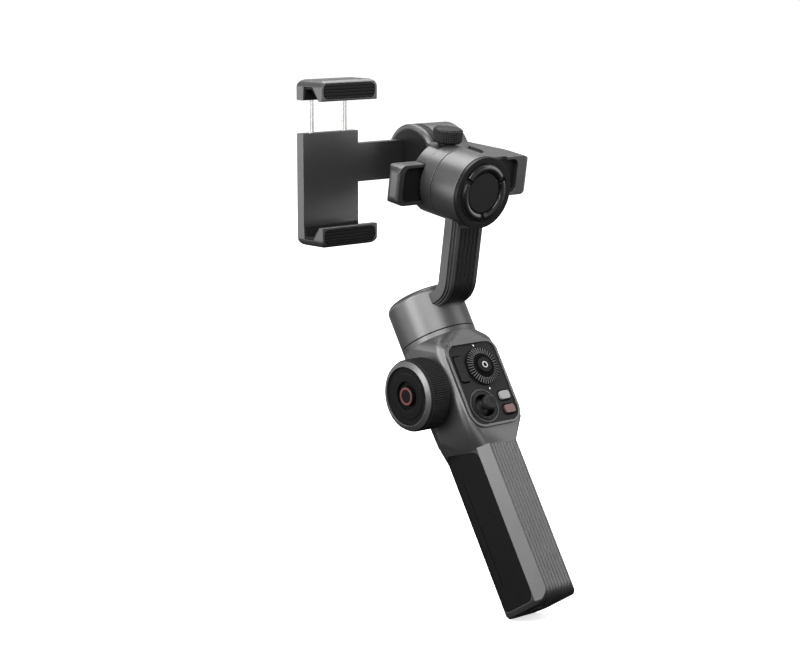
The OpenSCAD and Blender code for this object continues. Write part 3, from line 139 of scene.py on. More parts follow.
class GimbalFinishes(bpy.types.PropertyGroup):
    """Colours and finishes of the gimbal"""

    shell: colour("Shell grey", "Satin paint of the handle", (0.078, 0.078, 0.078))
    arm: colour("Arm grey", "Satin metal of the arms and motors", (0.070, 0.070, 0.0705))
    plastic: colour("Black plastic", "Panel, pads and small covers", (0.0070, 0.0074, 0.0072))
    rubber: colour("Black rubber", "Grips, knob and wheel face", (0.0036, 0.0039, 0.0037))
    bright: colour("Bright ring", "Turned ring of the hand wheel", (0.10, 0.10, 0.10))
    cover: colour("Motor cover", "Dark front cover of the roll motor", (0.0070, 0.0074, 0.0072))
    key_light: colour("Light key", "Mode button", (0.17, 0.17, 0.17))
    key_red: colour("Red key", "Record button", (0.078, 0.038, 0.035))
    # Edge lightening: partly wear, partly a painted highlight along every edge.
    wear: number("Edge wear", "How far worn edges lighten", 0.35)


class GimbalSizes(bpy.types.PropertyGroup):
    """Sizes of the detailed pieces"""

    edge: length("Edge round", "Radius that softens hard edges", 0.35)
    arc_bands: count("Cover bands", "Raised bands round the roll motor's cover", 3)
    wheel_ridges: count("Wheel ridges", "Ridges round the hand wheel's rim", 96)
    wheel_ridge: length("Wheel ridge", "Radius of a ridge on the hand wheel's rim", 0.45)
    dial_ribs: count("Dial ribs", "Ribs that fan out over the dial", 38)
    dial_rib: length("Dial rib", "Radius of a rib on the dial", 0.24)
    knob_columns: count("Knob columns", "Knurls round the lock knob", 36)
    knob_rows: count("Knob rows", "Rows of knurls up the lock knob", 6)
    knob_knurl: length("Knob knurl", "Height of a knurl on the lock knob", 0.45)


class GimbalStudio(bpy.types.PropertyGroup):
    """Camera and light"""

    lens: FloatProperty(
        name="Lens", description="Focal length of the camera", default=95.4, min=20,
        max=300, unit="CAMERA")
    key: number("Key light", "Strength of the large light on the left", 19.0, 0, 500)
    fill: number("Fill light", "Strength of the light ahead on the right", 6.0, 0, 500)
    side: number("Side card", "Strength of the low light behind on the left", 5.0, 0, 500)
    front: number("Front light", "Strength of the light ahead on the left", 11.0, 0, 500)
    low: number("Low card", "Strength of the low card ahead on the left", 3.0, 0, 500)
    top: number("Top light", "Strength of the light above", 32.0, 0, 500)
    sky: number("Surroundings", "Brightness of the white surroundings", 0.50, 0, 5)


# ---------------------------------------------------------------- node wiring


def place(tree, kind, values=None, **settings):
    """Adds a node, sets its options, and sets or joins its inputs."""
    made = tree.nodes.new(kind)
    for key, value in settings.items():
        setattr(made, key, value)
    for key, value in (values or {}).items():
        socket = made.inputs[key]
        if isinstance(value, bpy.types.NodeSocket):
            tree.links.new(value, socket)
        else:
            socket.default_value = value
    return made


def math_node(tree, operation, a, b=0.0):
    return place(tree, "ShaderNodeMath", {0: a, 1: b}, operation=operation).outputs[0]


def vector_node(tree, operation, a, b=(0, 0, 0)):
    made = place(tree, "ShaderNodeVectorMath", {0: a, 1: b}, operation=operation)
    return made.outputs["Value" if operation in ("LENGTH", "DOT_PRODUCT") else "Vector"]


def mix_node(tree, factor, a, b):
    return place(tree, "ShaderNodeMix", {"Factor": factor, "A": a, "B": b},
                 data_type="RGBA").outputs["Result"]


def combine(tree, **axes):
    return place(tree, "ShaderNodeCombineXYZ", axes).outputs["Vector"]


def own_place(tree):
    """Object coordinates."""
    return place(tree, "ShaderNodeTexCoord").outputs["Object"]


def from_axis(tree, vector):
    """Distance of a vector from the Z axis."""
    return vector_node(tree, "LENGTH", vector_node(tree, "MULTIPLY", vector, (1, 1, 0)))


def new_group(name, kind, inputs, outputs):
    """An empty node group with named sockets."""
    tree = bpy.data.node_groups.new(name, kind)
    for label, socket, default in inputs:
        made = tree.interface.new_socket(label, in_out="INPUT", socket_type=socket)
        if default is not None:
            made.default_value = default
    for label, socket in outputs:
        tree.interface.new_socket(label, in_out="OUTPUT", socket_type=socket)
    return tree, tree.nodes.new("NodeGroupInput"), tree.nodes.new("NodeGroupOutput")


REAL = "NodeSocketFloat"
VECTOR = "NodeSocketVector"


def fine_grain_group():
    """Moulded or painted grain: a fine height and a slow blotch."""
    tree, start, end = new_group(
        "Fine grain", "ShaderNodeTree",
        [("Grain Scale", REAL, 3500.0), ("Blotch Scale", REAL, 60.0)],
        [("Grain", REAL), ("Blotch", REAL)])
    where = own_place(tree)
    grain = place(tree, "ShaderNodeTexNoise", {
        "Vector": where, "Scale": start.outputs["Grain Scale"], "Detail": 2.0,
        "Roughness": 0.6})
    blotch = place(tree, "ShaderNodeTexNoise", {
        "Vector": where, "Scale": start.outputs["Blotch Scale"], "Detail": 3.0})
    tree.links.new(grain.outputs["Fac"], end.inputs["Grain"])
    tree.links.new(blotch.outputs["Fac"], end.inputs["Blotch"])
    return tree


def soft_edge_group(radius):
    """Rounds hard edges in the shading, and masks every edge for scuffing and a painted
    highlight.
    """
    tree, start, end = new_group(
        "Soft edges", "ShaderNodeTree", [("Wear Scale", REAL, 900.0)],
        [("Normal", VECTOR), ("Wear", REAL)])
    round_off = place(tree, "ShaderNodeBevel", {"Radius": radius}, samples=6)
    true_normal = place(tree, "ShaderNodeNewGeometry").outputs["Normal"]
    facing = vector_node(tree, "DOT_PRODUCT", round_off.outputs["Normal"], true_normal)
    # Every edge, convex or concave, is lightened: partly wear, partly a painted highlight.
    edge = place(tree, "ShaderNodeMapRange", {
        "Value": facing, "From Min": 0.995, "From Max": 0.86})
    patches = place(tree, "ShaderNodeTexNoise", {
        "Vector": own_place(tree), "Scale": start.outputs["Wear Scale"], "Detail": 4.0})
    broken = place(tree, "ShaderNodeMapRange", {
        "Value": patches.outputs["Fac"], "From Min": 0.35, "From Max": 0.65,
        "To Min": 0.35, "To Max": 1.0})
    wear = math_node(tree, "MULTIPLY", edge.outputs["Result"], broken.outputs["Result"])
    tree.links.new(round_off.outputs["Normal"], end.inputs["Normal"])
    tree.links.new(wear, end.inputs["Wear"])
    return tree


def pebble_group():
    """Leather-like pebbles of the rubber grips."""
    tree, start, end = new_group(
        "Pebbles", "ShaderNodeTree", [("Pebble Scale", REAL, 1500.0)], [("Height", REAL)])
    where = own_place(tree)
    bend = place(tree, "ShaderNodeTexNoise", {"Vector": where, "Scale": 500.0, "Detail": 2.0})
    sway = vector_node(tree, "MULTIPLY", bend.outputs["Color"], (0.0006, 0.0006, 0.0006))
    moved = vector_node(tree, "ADD", where, sway)
    cells = place(tree, "ShaderNodeTexVoronoi", {
        "Vector": moved, "Scale": start.outputs["Pebble Scale"]}, feature="DISTANCE_TO_EDGE")
    dome = place(tree, "ShaderNodeMapRange", {
        "Value": cells.outputs["Distance"], "From Min": 0.0, "From Max": 0.28},
        interpolation_type="SMOOTHSTEP")
    tree.links.new(dome.outputs["Result"], end.inputs["Height"])
    return tree


def turned_group():
    """Fine rings left by a lathe, about the local Z axis of the given vector."""
    tree, start, end = new_group(
        "Turned rings", "ShaderNodeTree",
        [("Vector", VECTOR, None), ("Ring Pitch", REAL, 0.00022)], [("Height", REAL)])
    radius = from_axis(tree, start.outputs["Vector"])
    turns = math_node(tree, "DIVIDE", radius, start.outputs["Ring Pitch"])
    wave = math_node(tree, "SINE", math_node(tree, "MULTIPLY", turns, 2 * math.pi))
    uneven = place(tree, "ShaderNodeTexNoise", {"W": turns, "Scale": 0.7},
                   noise_dimensions="1D")
    height = math_node(tree, "MULTIPLY", wave, uneven.outputs["Fac"])
    tree.links.new(height, end.inputs["Height"])
    return tree


def between(tree, value, low, high, soft):
    """Nearly one where a value lies between two limits, with soft ends."""
    ends = []
    for limit, inward in ((low, soft), (high, -soft)):
        ramp = place(tree, "ShaderNodeMapRange", {
            "Value": value, "From Min": limit - inward, "From Max": limit + inward},
            interpolation_type="SMOOTHSTEP")
        ends.append(ramp.outputs["Result"])
    return math_node(tree, "MULTIPLY", *ends)


def arc_slot_group(inner, outer, first, last):
    """Mask of a slot along an arc about the local Z axis of the given vector, which its material
    darkens with painted shade.
    """
    tree, start, end = new_group(
        "Arc slot", "ShaderNodeTree", [("Vector", VECTOR, None)], [("Mask", REAL)])
    axes = place(tree, "ShaderNodeSeparateXYZ", {0: start.outputs["Vector"]}).outputs
    radius = from_axis(tree, start.outputs["Vector"])
    angle = math_node(tree, "ARCTAN2", axes["Y"], axes["X"])
    mask = math_node(
        tree, "MULTIPLY", between(tree, radius, inner * MM, outer * MM, 0.12 * MM),
        between(tree, angle, math.radians(first), math.radians(last), 0.01))
    tree.links.new(mask, end.inputs["Mask"])
    return tree


def crease_group(depth, half, top, low):
    """Mask of a lengthwise crease, in the frame of the handle, which its material darkens with
    painted shade.
    """
    tree, start, end = new_group(
        "Crease", "ShaderNodeTree", [("Vector", VECTOR, None)], [("Mask", REAL)])
    axes = place(tree, "ShaderNodeSeparateXYZ", {0: start.outputs["Vector"]}).outputs
    mask = math_node(
        tree, "MULTIPLY",
        between(tree, axes["Y"], (depth - half) * MM, (depth + half) * MM, half * MM),
        between(tree, axes["Z"], -low * MM, -top * MM, 3 * MM))
    tree.links.new(mask, end.inputs["Mask"])
    return tree


WORN_AND_LIT_GAIN, WORN_AND_LIT_LIFT = 2.2, 0.012  # how much lighter an edge is than its surface, partly wear and partly a painted highlight
CUT_SHADE, CUT_DEPTH = 0.3, 0.0005  # colour of the painted shade in a cut that its material draws, and the cut's depth


class Finishes:
    """The gimbal's materials, made once and looked up by name."""

    def __init__(self, looks, edge):
        self.looks = looks
        self.groups = {
            "grain": fine_grain_group(), "edges": soft_edge_group(edge),
            "pebbles": pebble_group(), "turned": turned_group(),
            "arc slot": arc_slot_group(inner=13.0, outer=14.4, first=-118, last=-70),
            "crease": crease_group(depth=6.5, half=0.45, top=76, low=134)}
        self.made = {}

    def group(self, tree, name, values=None):
        return place(tree, "ShaderNodeGroup", values, node_tree=self.groups[name])

    def seen_from(self, tree, spot):
        """Object coordinates in the frame of a place."""
        return place(tree, "ShaderNodeMapping", {
            "Vector": own_place(tree), "Location": spot.to_translation(),
            "Rotation": spot.to_euler()}, vector_type="TEXTURE").outputs["Vector"]

    def coat(self, name, base, rough, metal=0.0, grain=3500.0, bump=0.02, deep=0.00004,
             vary=0.12, wear=None, spread=0.08, pebble=None, turned=None, specular=0.5,
             glow=0.0, cut=None):
        """A material of base colour with grain, blotches, edges lightened by scuffing and a
        painted highlight, painted shade in a cut where one is given, and bump.
        """
        if name in self.made:
            return self.made[name]
        material = bpy.data.materials.new(name)
        material.use_nodes = True
        tree = material.node_tree
        shader = tree.nodes["Principled BSDF"]
        shader.inputs["Metallic"].default_value = metal
        shader.inputs["Specular IOR Level"].default_value = specular
        grains = self.group(tree, "grain", {"Grain Scale": grain})
        edges = self.group(tree, "edges")
        lit = tuple(min(1.0, c * (1 + vary)) for c in base) + (1.0,)
        dim = tuple(c * (1 - vary) for c in base) + (1.0,)
        # Edges lighten, partly as wear and partly as a painted highlight.
        gain = 1 + WORN_AND_LIT_GAIN * (self.looks.wear if wear is None else wear)
        worn_and_lit = tuple(min(1.0, c * gain + WORN_AND_LIT_LIFT) for c in base) + (1.0,)
        body = mix_node(tree, grains.outputs["Blotch"], dim, lit)
        shown = mix_node(tree, edges.outputs["Wear"], body, worn_and_lit)
        # Painted shade: a cut such as a crease or slot is darkened here.
        if cut:
            shape, spot = cut
            mask = self.group(tree, shape, {"Vector": self.seen_from(tree, spot)})
            dark = tuple(CUT_SHADE * c for c in base) + (1.0,)
            shown = mix_node(tree, mask.outputs["Mask"], shown, dark)
        tree.links.new(shown, shader.inputs["Base Color"])
        patchy = place(tree, "ShaderNodeMapRange", {
            "Value": grains.outputs["Grain"], "From Min": 0.25, "From Max": 0.75,
            "To Min": rough - spread, "To Max": rough + spread})
        tree.links.new(patchy.outputs["Result"], shader.inputs["Roughness"])
        height = grains.outputs["Grain"]
        if pebble:
            pebbles = self.group(tree, "pebbles", {"Pebble Scale": pebble})
            fine = math_node(tree, "MULTIPLY", height, 0.25)
            height = math_node(tree, "ADD", pebbles.outputs["Height"], fine)
        if turned:
            rings = self.group(tree, "turned", {"Vector": self.seen_from(tree, turned)})
            fine = math_node(tree, "MULTIPLY", height, 0.3)
            height = math_node(tree, "ADD", rings.outputs["Height"], fine)
        relief = place(tree, "ShaderNodeBump", {
            "Strength": bump, "Distance": deep, "Height": height,
            "Normal": edges.outputs["Normal"]})
        if cut:
            relief = place(tree, "ShaderNodeBump", {
                "Strength": 1.0, "Distance": CUT_DEPTH, "Height": mask.outputs["Mask"],
                "Normal": relief.outputs["Normal"]}, invert=True)
        tree.links.new(relief.outputs["Normal"], shader.inputs["Normal"])
        if glow:
            tree.links.new(body, shader.inputs["Emission Color"])
            shader.inputs["Emission Strength"].default_value = glow
        self.made[name] = material
        return material


finishes = None


def finish(name):
    """The material of that name, with the values of the settings."""
    looks = finishes.looks
    # The edge lightening in these recipes is partly wear and partly a painted highlight, most of
    # all in ribbed_black, deep_black and knurled_rubber.
    recipes = {
        "satin_shell": dict(base=looks.shell, rough=0.40, metal=0.75, grain=5200, bump=0.10),
        "satin_arm": dict(base=looks.arm, rough=0.38, metal=0.80, grain=5200, bump=0.08),
        "black_plastic": dict(base=looks.plastic, rough=0.42, grain=4200, bump=0.10, wear=0.5,
                              specular=0.09),
        "black_rubber": dict(base=looks.plastic, rough=0.62, grain=2600, bump=0.16, wear=0.5,
                             specular=0.08),
        # The grips' crease is darkened with painted shade.
        "pebbled_rubber": dict(base=looks.rubber, rough=0.62, bump=0.35, deep=0.00012,
                               pebble=1250.0, wear=0.4, specular=0.07,
                               cut=("crease", HANDLE)),
        "deep_black": dict(base=looks.plastic, rough=0.5, grain=4200, bump=0.08, wear=1.2,
                           specular=0.10),
        "knurled_rubber": dict(base=looks.rubber, rough=0.46, grain=2600, bump=0.10, wear=1.2,
                               specular=0.18),
        "dial_rib": dict(base=(0.062, 0.062, 0.062), rough=0.42, bump=0.06, wear=0.4,
                         specular=0.3),
        "collar_bead": dict(base=(0.020, 0.020, 0.020), rough=0.40, bump=0.06, wear=0.4,
                            specular=0.3),
        "ribbed_black": dict(base=(0.0058, 0.0061, 0.0059), rough=0.40, grain=4200, bump=0.08,
                             wear=1.6, specular=0.2),
        "seal_black": dict(base=tuple(0.5 * c for c in looks.rubber), rough=0.65, bump=0.05,
                           wear=0.1, specular=0.03),
        "stick_rubber": dict(base=(0.010, 0.010, 0.010), rough=0.45, grain=2600, bump=0.10,
                             wear=0.6, specular=0.10),
        "bright_ring": dict(base=looks.bright, rough=0.42, metal=0.85, bump=0.15,
                            turned=WHEEL, vary=0.04),
        # The arc slot on the wheel face is darkened with painted shade.
        "turned_face": dict(base=looks.rubber, rough=0.40, bump=0.18, turned=WHEEL,
                            wear=0.6, specular=0.05, cut=("arc slot", WHEEL)),
        "dark_cover": dict(base=looks.cover, rough=0.34, metal=0.2, bump=0.06, wear=0.9,
                           spread=0.05, specular=0.12),
        "gloss_band": dict(base=looks.rubber, rough=0.16, bump=0.02, wear=0.3, spread=0.04,
                           specular=0.5),
        "badge_face": dict(base=looks.cover, rough=0.42, bump=0.10, turned=ROLL, specular=0.12),
        "light_key": dict(base=looks.key_light, rough=0.45, grain=4200, bump=0.06, vary=0.06),
        "red_key": dict(base=looks.key_red, rough=0.45, grain=4200, bump=0.06, vary=0.10),
        "red_mark": dict(base=(0.085, 0.012, 0.014), rough=0.4, bump=0.05, vary=0.08),
        "white_mark": dict(base=(0.36, 0.37, 0.37), rough=0.45, bump=0.05, vary=0.05),
        "lamp_lens": dict(base=(0.60, 0.61, 0.60), rough=0.3, bump=0.03, vary=0.03, glow=0.2),
        "steel": dict(base=(0.42, 0.42, 0.41), rough=0.28, metal=1.0, bump=0.10),
        "dark_steel": dict(base=(0.07, 0.07, 0.07), rough=0.35, metal=0.9, bump=0.10),
        "lamination": dict(base=(0.16, 0.15, 0.14), rough=0.5, metal=0.8, bump=0.2),
        "circuit_board": dict(base=(0.005, 0.010, 0.007), rough=0.4, bump=0.12),
        "cell_wrap": dict(base=(0.02, 0.08, 0.17), rough=0.3, bump=0.05),
    }
    return finishes.coat(name, **recipes[name])


# ---------------------------------------------------------------- pieces


def settle_piece(piece, node):
    """Hands a finished piece to the frame: its body and what it stands for."""
    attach(piece, frame["nodes"][node]["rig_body"])
    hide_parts(node)
    return piece


def add_piece(piece, body):
    """Hands a piece that stands for no CAD node to the frame."""
    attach(piece, body)
    return piece


def as_object(name, mesh, material=None):
    made = bpy.data.objects.new(name, mesh)
    bpy.context.scene.collection.objects.link(made)
    if material is not None:
        mesh.materials.clear()
        mesh.materials.append(material)
    return made


def smooth_mesh(mesh, degrees):
    """Merges doubles, smooths round faces and keeps edges past the angle sharp."""
    work = bmesh.new()
    work.from_mesh(mesh)
    bmesh.ops.remove_doubles(work, verts=work.verts, dist=1e-6)
    limit = math.radians(degrees)
    for face in work.faces:
        face.smooth = True
    for edge in work.edges:
        edge.smooth = len(edge.link_faces) == 2 and edge.calc_face_angle(0) < limit
    work.to_mesh(mesh)
    work.free()
    mesh.update()


def even_normals(piece):
    """Lets large faces lead the shading of their neighbours' rounds."""
    even = piece.modifiers.new("Even normals", "WEIGHTED_NORMAL")
    even.mode = "FACE_AREA_WITH_ANGLE"
    even.weight = 80
    even.keep_sharp = True
    bake_piece(piece)


def bake_piece(piece):
    """Turns the piece with its modifiers into a plain mesh."""
    graph = bpy.context.evaluated_depsgraph_get()
    mesh = bpy.data.meshes.new_from_object(piece.evaluated_get(graph), depsgraph=graph)
    piece.modifiers.clear()
    old = piece.data
    piece.data = mesh
    bpy.data.meshes.remove(old)


SHARP = 32  # degrees past which an edge stays sharp
SHARP_SHELL = 40
SEGMENTS = 128  # round a turned piece
ON_AXIS = 1e-6  # radius in mm below which a profile touches its axis
CORNER_STEPS = 6  # round a corner of a frame ring


def skin(node, material, degrees=SHARP):
    """A smooth copy of a CAD node that shows in its place."""
    mesh = frame["nodes"][node].data.copy()
    smooth_mesh(mesh, degrees)
    piece = as_object(node + "_skin", mesh, finish(material))
    even_normals(piece)
    return settle_piece(piece, node)


def repaint(node, material):
    """A better material for a CAD node that stays."""
    carried = frame["nodes"][node]
    if not carried.material_slots:
        carried.data.materials.append(finish(material))
    for place_of in carried.material_slots:
        place_of.material = finish(material)


def from_work(work, name, material):
    """Turns a closed work mesh into an object, faces outwards and smooth."""
    bmesh.ops.recalc_face_normals(work, faces=work.faces)
    mesh = bpy.data.meshes.new(name)
    work.to_mesh(mesh)
    work.free()
    smooth_mesh(mesh, SHARP)
    return as_object(name, mesh, material)


def lathe(name, profile, material, loop=False):
    """Turns a profile of (radius, height) pairs in mm about Z."""
    work = bmesh.new()
    rings = []
    for radius, height in profile:
        turns = [2 * math.pi * i / SEGMENTS for i in range(SEGMENTS)]
        if radius < ON_AXIS:
            turns = [0.0]
        ring = [work.verts.new((radius * MM * math.cos(a), radius * MM * math.sin(a),
                                height * MM)) for a in turns]
        rings.append(ring if len(ring) > 1 else ring * SEGMENTS)
    pairs = list(zip(rings, rings[1:]))
    if loop:
        pairs.append((rings[-1], rings[0]))
    for lower, upper in pairs:
        for i in range(SEGMENTS):
            j = (i + 1) % SEGMENTS
            corners = [lower[i], lower[j], upper[j], upper[i]]
            corners = [v for k, v in enumerate(corners) if v not in corners[:k]]
            if len(corners) > 2:
                work.faces.new(corners)
    return from_work(work, name, material)


def frame_ring(name, half, corner, grow_by, heights, material):
    """A flat ring round a rectangle with round corners, between two offsets, in mm."""
    work = bmesh.new()
    rings = []
    for offset, height in ((grow_by[0], heights[0]), (grow_by[1], heights[0]),
                           (grow_by[1], heights[1]), (grow_by[0], heights[1])):
        ring = []
        for quarter, (x, y) in enumerate(((1, 1), (-1, 1), (-1, -1), (1, -1))):
            for i in range(CORNER_STEPS + 1):
                angle = math.pi / 2 * (quarter + i / CORNER_STEPS)
                ring.append(work.verts.new((
                    (x * (half[0] - corner) + (corner + offset) * math.cos(angle)) * MM,
                    (y * (half[1] - corner) + (corner + offset) * math.sin(angle)) * MM,
                    height * MM)))
        rings.append(ring)
    for inner, outer in zip(rings, rings[1:] + rings[:1]):
        for i in range(len(inner)):
            j = (i + 1) % len(inner)
            work.faces.new((inner[i], inner[j], outer[j], outer[i]))
    return from_work(work, name, material)


def rounded(points, radius, steps, loop=False):
    """Rounds the corners of a profile; the ends of an open one stay."""
    points = [Vector(p) for p in points]
    trios = list(zip(points, points[1:], points[2:]))
    if loop:
        trios = list(zip(points[-1:] + points[:-1], points, points[1:] + points[:1]))
    out = [] if loop else [tuple(points[0])]
    for a, b, c in trios:
        cut = min(radius, (a - b).length * 0.45, (c - b).length * 0.45)
        start, end = b + (a - b).normalized() * cut, b + (c - b).normalized() * cut
        for i in range(steps + 1):
            t = i / steps
            out.append(tuple(start * (1 - t) ** 2 + b * 2 * t * (1 - t) + end * t ** 2))
    return out if loop else out + [tuple(points[-1])]


def turned_ring(name, inner, outer, low, high, edge, material, steps=3):
    """A turned ring between two radii and two heights in mm, its edges rounded."""
    corners = [(inner, low), (outer, low), (outer, high), (inner, high)]
    return lathe(name, rounded(corners, edge, steps, loop=True), finish(material), loop=True)


def set_at(piece, spot):
    """Moves a piece made at the origin to its place, in its mesh."""
    piece.data.transform(spot)
    piece.data.update()
    return piece


def span(node, spot):
    """Lowest and highest corner of a CAD node along the axes of a place, in mm."""
    back = spot.inverted()
    seen = [back @ v.co / MM for v in frame["nodes"][node].data.vertices]
    return ([min(v[i] for v in seen) for i in range(3)],
            [max(v[i] for v in seen) for i in range(3)])


GEOMETRY = "NodeSocketGeometry"
WHOLE = "NodeSocketInt"
FINISH = "NodeSocketMaterial"


def transform(tree, geometry, **values):
    return place(tree, "GeometryNodeTransform", {
        "Geometry": geometry, **values}).outputs["Geometry"]


def lifted(tree, start, geometry):
    """Geometry moved up by the tree's lift."""
    return transform(tree, geometry, Translation=combine(tree, Z=start.outputs["Lift"]))


def set_outward(tree, points, instance):
    """Instances on points, their X turned away from the Z axis."""
    level = vector_node(tree, "MULTIPLY", place(
        tree, "GeometryNodeInputPosition").outputs["Position"], (1, 1, 0))
    out = place(tree, "FunctionNodeAlignRotationToVector", {"Vector": level},
                axis="X", pivot_axis="Z")
    return place(tree, "GeometryNodeInstanceOnPoints", {
        "Points": points, "Instance": instance,
        "Rotation": out.outputs["Rotation"]}).outputs["Instances"]


ROD_SIDES = 10


def ring_and_rod(tree, start, kind):
    """A ring of points, and the rod that goes on each."""
    ring = place(tree, "GeometryNodeMeshCircle", {
        "Vertices": start.outputs["Count"], "Radius": start.outputs["Radius"]})
    rod = place(tree, "GeometryNodeMeshCylinder", {
        "Vertices": ROD_SIDES, "Radius": start.outputs[kind + " Radius"],
        "Depth": start.outputs[kind + " Length"]})
    return ring.outputs["Mesh"], rod.outputs["Mesh"]


def ridge_ring_tree():
    """Round ridges side by side round a turned body, all along its axis."""
    tree, start, end = new_group(
        "Ridge ring", "GeometryNodeTree",
        [("Body", GEOMETRY, None), ("Count", WHOLE, 96), ("Radius", REAL, 0.018),
         ("Ridge Radius", REAL, 0.0005), ("Ridge Length", REAL, 0.008), ("Lift", REAL, 0.0),
         ("Finish", FINISH, None)],
        [("Geometry", GEOMETRY)])
    ring, ridge = ring_and_rod(tree, start, "Ridge")
    spread = place(tree, "GeometryNodeInstanceOnPoints", {"Points": ring, "Instance": ridge})
    close_tree(tree, start, end, lifted(tree, start, spread.outputs["Instances"]))
    return tree


def rib_fan_tree():
    """Round ribs that fan out over a sloping face."""
    tree, start, end = new_group(
        "Rib fan", "GeometryNodeTree",
        [("Body", GEOMETRY, None), ("Count", WHOLE, 36), ("Radius", REAL, 0.008),
         ("Rib Radius", REAL, 0.0003), ("Rib Length", REAL, 0.003), ("Lift", REAL, 0.0),
         ("Slope", REAL, 0.0), ("Finish", FINISH, None)],
        [("Geometry", GEOMETRY)])
    ring, rib = ring_and_rod(tree, start, "Rib")
    lean = math_node(tree, "ADD", start.outputs["Slope"], math.pi / 2)
    laid = transform(tree, rib, Rotation=combine(tree, Y=lean))
    fan = set_outward(tree, ring, laid)
    close_tree(tree, start, end, lifted(tree, start, fan))
    return tree


def knurl_grid_tree():
    """Rows of small blunt pyramids round a turned body."""
    tree, start, end = new_group(
        "Knurl grid", "GeometryNodeTree",
        [("Body", GEOMETRY, None), ("Columns", WHOLE, 30), ("Rows", WHOLE, 5),
         ("Radius", REAL, 0.007), ("Pitch", REAL, 0.0012), ("Half Width", REAL, 0.0006),
         ("Depth", REAL, 0.0005), ("Lift", REAL, 0.0), ("Finish", FINISH, None)],
        [("Geometry", GEOMETRY)])
    rows = place(tree, "GeometryNodeMeshLine", {
        "Count": start.outputs["Rows"],
        "Start Location": combine(tree, Z=start.outputs["Lift"]),
        "Offset": combine(tree, Z=start.outputs["Pitch"])})
    ring = place(tree, "GeometryNodeMeshCircle", {
        "Vertices": start.outputs["Columns"], "Radius": start.outputs["Radius"]})
    stacked = place(tree, "GeometryNodeInstanceOnPoints", {
        "Points": rows.outputs["Mesh"], "Instance": ring.outputs["Mesh"]})
    spots = place(tree, "GeometryNodeRealizeInstances", {
        "Geometry": stacked.outputs["Instances"]})
    tooth = place(tree, "GeometryNodeMeshCone", {
        "Vertices": 4, "Radius Bottom": start.outputs["Half Width"],
        "Radius Top": math_node(tree, "MULTIPLY", start.outputs["Half Width"], 0.45),
        "Depth": start.outputs["Depth"]})
    square = transform(tree, tooth.outputs["Mesh"], Rotation=(0, 0, math.pi / 4))
    laid = transform(tree, square, Rotation=(0, math.pi / 2, 0))
    close_tree(tree, start, end, set_outward(tree, spots.outputs["Geometry"], laid))
    return tree


def arc_band_tree():
    """Round-backed bands along one ring, each turned on from the one before."""
    tree, start, end = new_group(
        "Arc bands", "GeometryNodeTree",
        [("Body", GEOMETRY, None), ("Count", WHOLE, 3), ("Radius", REAL, 0.013),
         ("Half Width", REAL, 0.002), ("Height", REAL, 0.0006), ("First", REAL, 0.0),
         ("Sweep", REAL, 1.8), ("Lift", REAL, 0.0), ("Finish", FINISH, None)],
        [("Geometry", GEOMETRY)])
    arc = place(tree, "GeometryNodeCurveArc", {
        "Resolution": 48, "Radius": start.outputs["Radius"],
        "Start Angle": start.outputs["First"], "Sweep Angle": start.outputs["Sweep"]})
    level = place(tree, "GeometryNodeSetCurveNormal", {
        "Curve": arc.outputs["Curve"]}, mode="Z_UP")
    oval = place(tree, "GeometryNodeCurvePrimitiveCircle", {"Resolution": 20, "Radius": 1.0})
    section = transform(tree, oval.outputs["Curve"], Scale=combine(
        tree, X=start.outputs["Half Width"], Y=start.outputs["Height"], Z=1.0))
    band = place(tree, "GeometryNodeCurveToMesh", {
        "Curve": level.outputs["Curve"], "Profile Curve": section, "Fill Caps": True})
    spots = place(tree, "GeometryNodeMeshLine", {
        "Count": start.outputs["Count"], "Offset": (0, 0, 0)})
    part = math_node(tree, "DIVIDE", 2 * math.pi, start.outputs["Count"])
    angle = math_node(tree, "MULTIPLY", place(
        tree, "GeometryNodeInputIndex").outputs["Index"], part)
    on = place(tree, "FunctionNodeEulerToRotation", {"Euler": combine(tree, Z=angle)})
    spread = place(tree, "GeometryNodeInstanceOnPoints", {
        "Points": spots.outputs["Mesh"],
        "Instance": lifted(tree, start, band.outputs["Mesh"]),
        "Rotation": on.outputs["Rotation"]})
    close_tree(tree, start, end, spread.outputs["Instances"])
    return tree


def close_tree(tree, start, end, instances):
    """Joins the instances to the body, makes them real and gives them their finish."""
    joined = place(tree, "GeometryNodeJoinGeometry")
    tree.links.new(instances, joined.inputs[0])
    tree.links.new(start.outputs["Body"], joined.inputs[0])
    solid = place(tree, "GeometryNodeRealizeInstances", {"Geometry": joined.outputs[0]})
    painted = place(tree, "GeometryNodeSetMaterial", {
        "Geometry": solid.outputs["Geometry"], "Material": start.outputs["Finish"]})
    tree.links.new(painted.outputs["Geometry"], end.inputs[0])


def grow(piece, tree, **values):
    """Runs a tree on a piece and keeps the result as its plain mesh."""
    added = piece.modifiers.new(tree.name, "NODES")
    added.node_group = tree
    sockets = {s.name.lower().replace(" ", "_"): s.identifier
               for s in tree.interface.items_tree if s.in_out == "INPUT"}
    for key, value in values.items():
        added[sockets[key]] = value
    bake_piece(piece)


# ---------------------------------------------------------------- operators


class GIMBAL_OT_finishes(bpy.types.Operator):
    """Makes the shader groups that every finish shares"""

    bl_idname = "gimbal.finishes"
    bl_label = "Finishes"

    def execute(self, context):
        global finishes
        finishes = Finishes(context.scene.gimbal_finishes, context.scene.gimbal_sizes.edge)
        return {"FINISHED"}


class GIMBAL_OT_handle(bpy.types.Operator):
    """Shells, grips and base of the handle"""

    bl_idname = "gimbal.handle"
    bl_label = "Handle"

    def execute(self, context):
        for node in ("front_shell", "rear_shell"):
            skin(node, "satin_shell", SHARP_SHELL)
        skin("base_cap", "black_plastic")
        for node in ("left_grip", "right_grip"):
            skin(node, "pebbled_rubber")
        for node in ("tripod_insert", "shell_screws"):
            skin(node, "dark_steel")
        skin("trigger", "black_plastic")
        return {"FINISHED"}


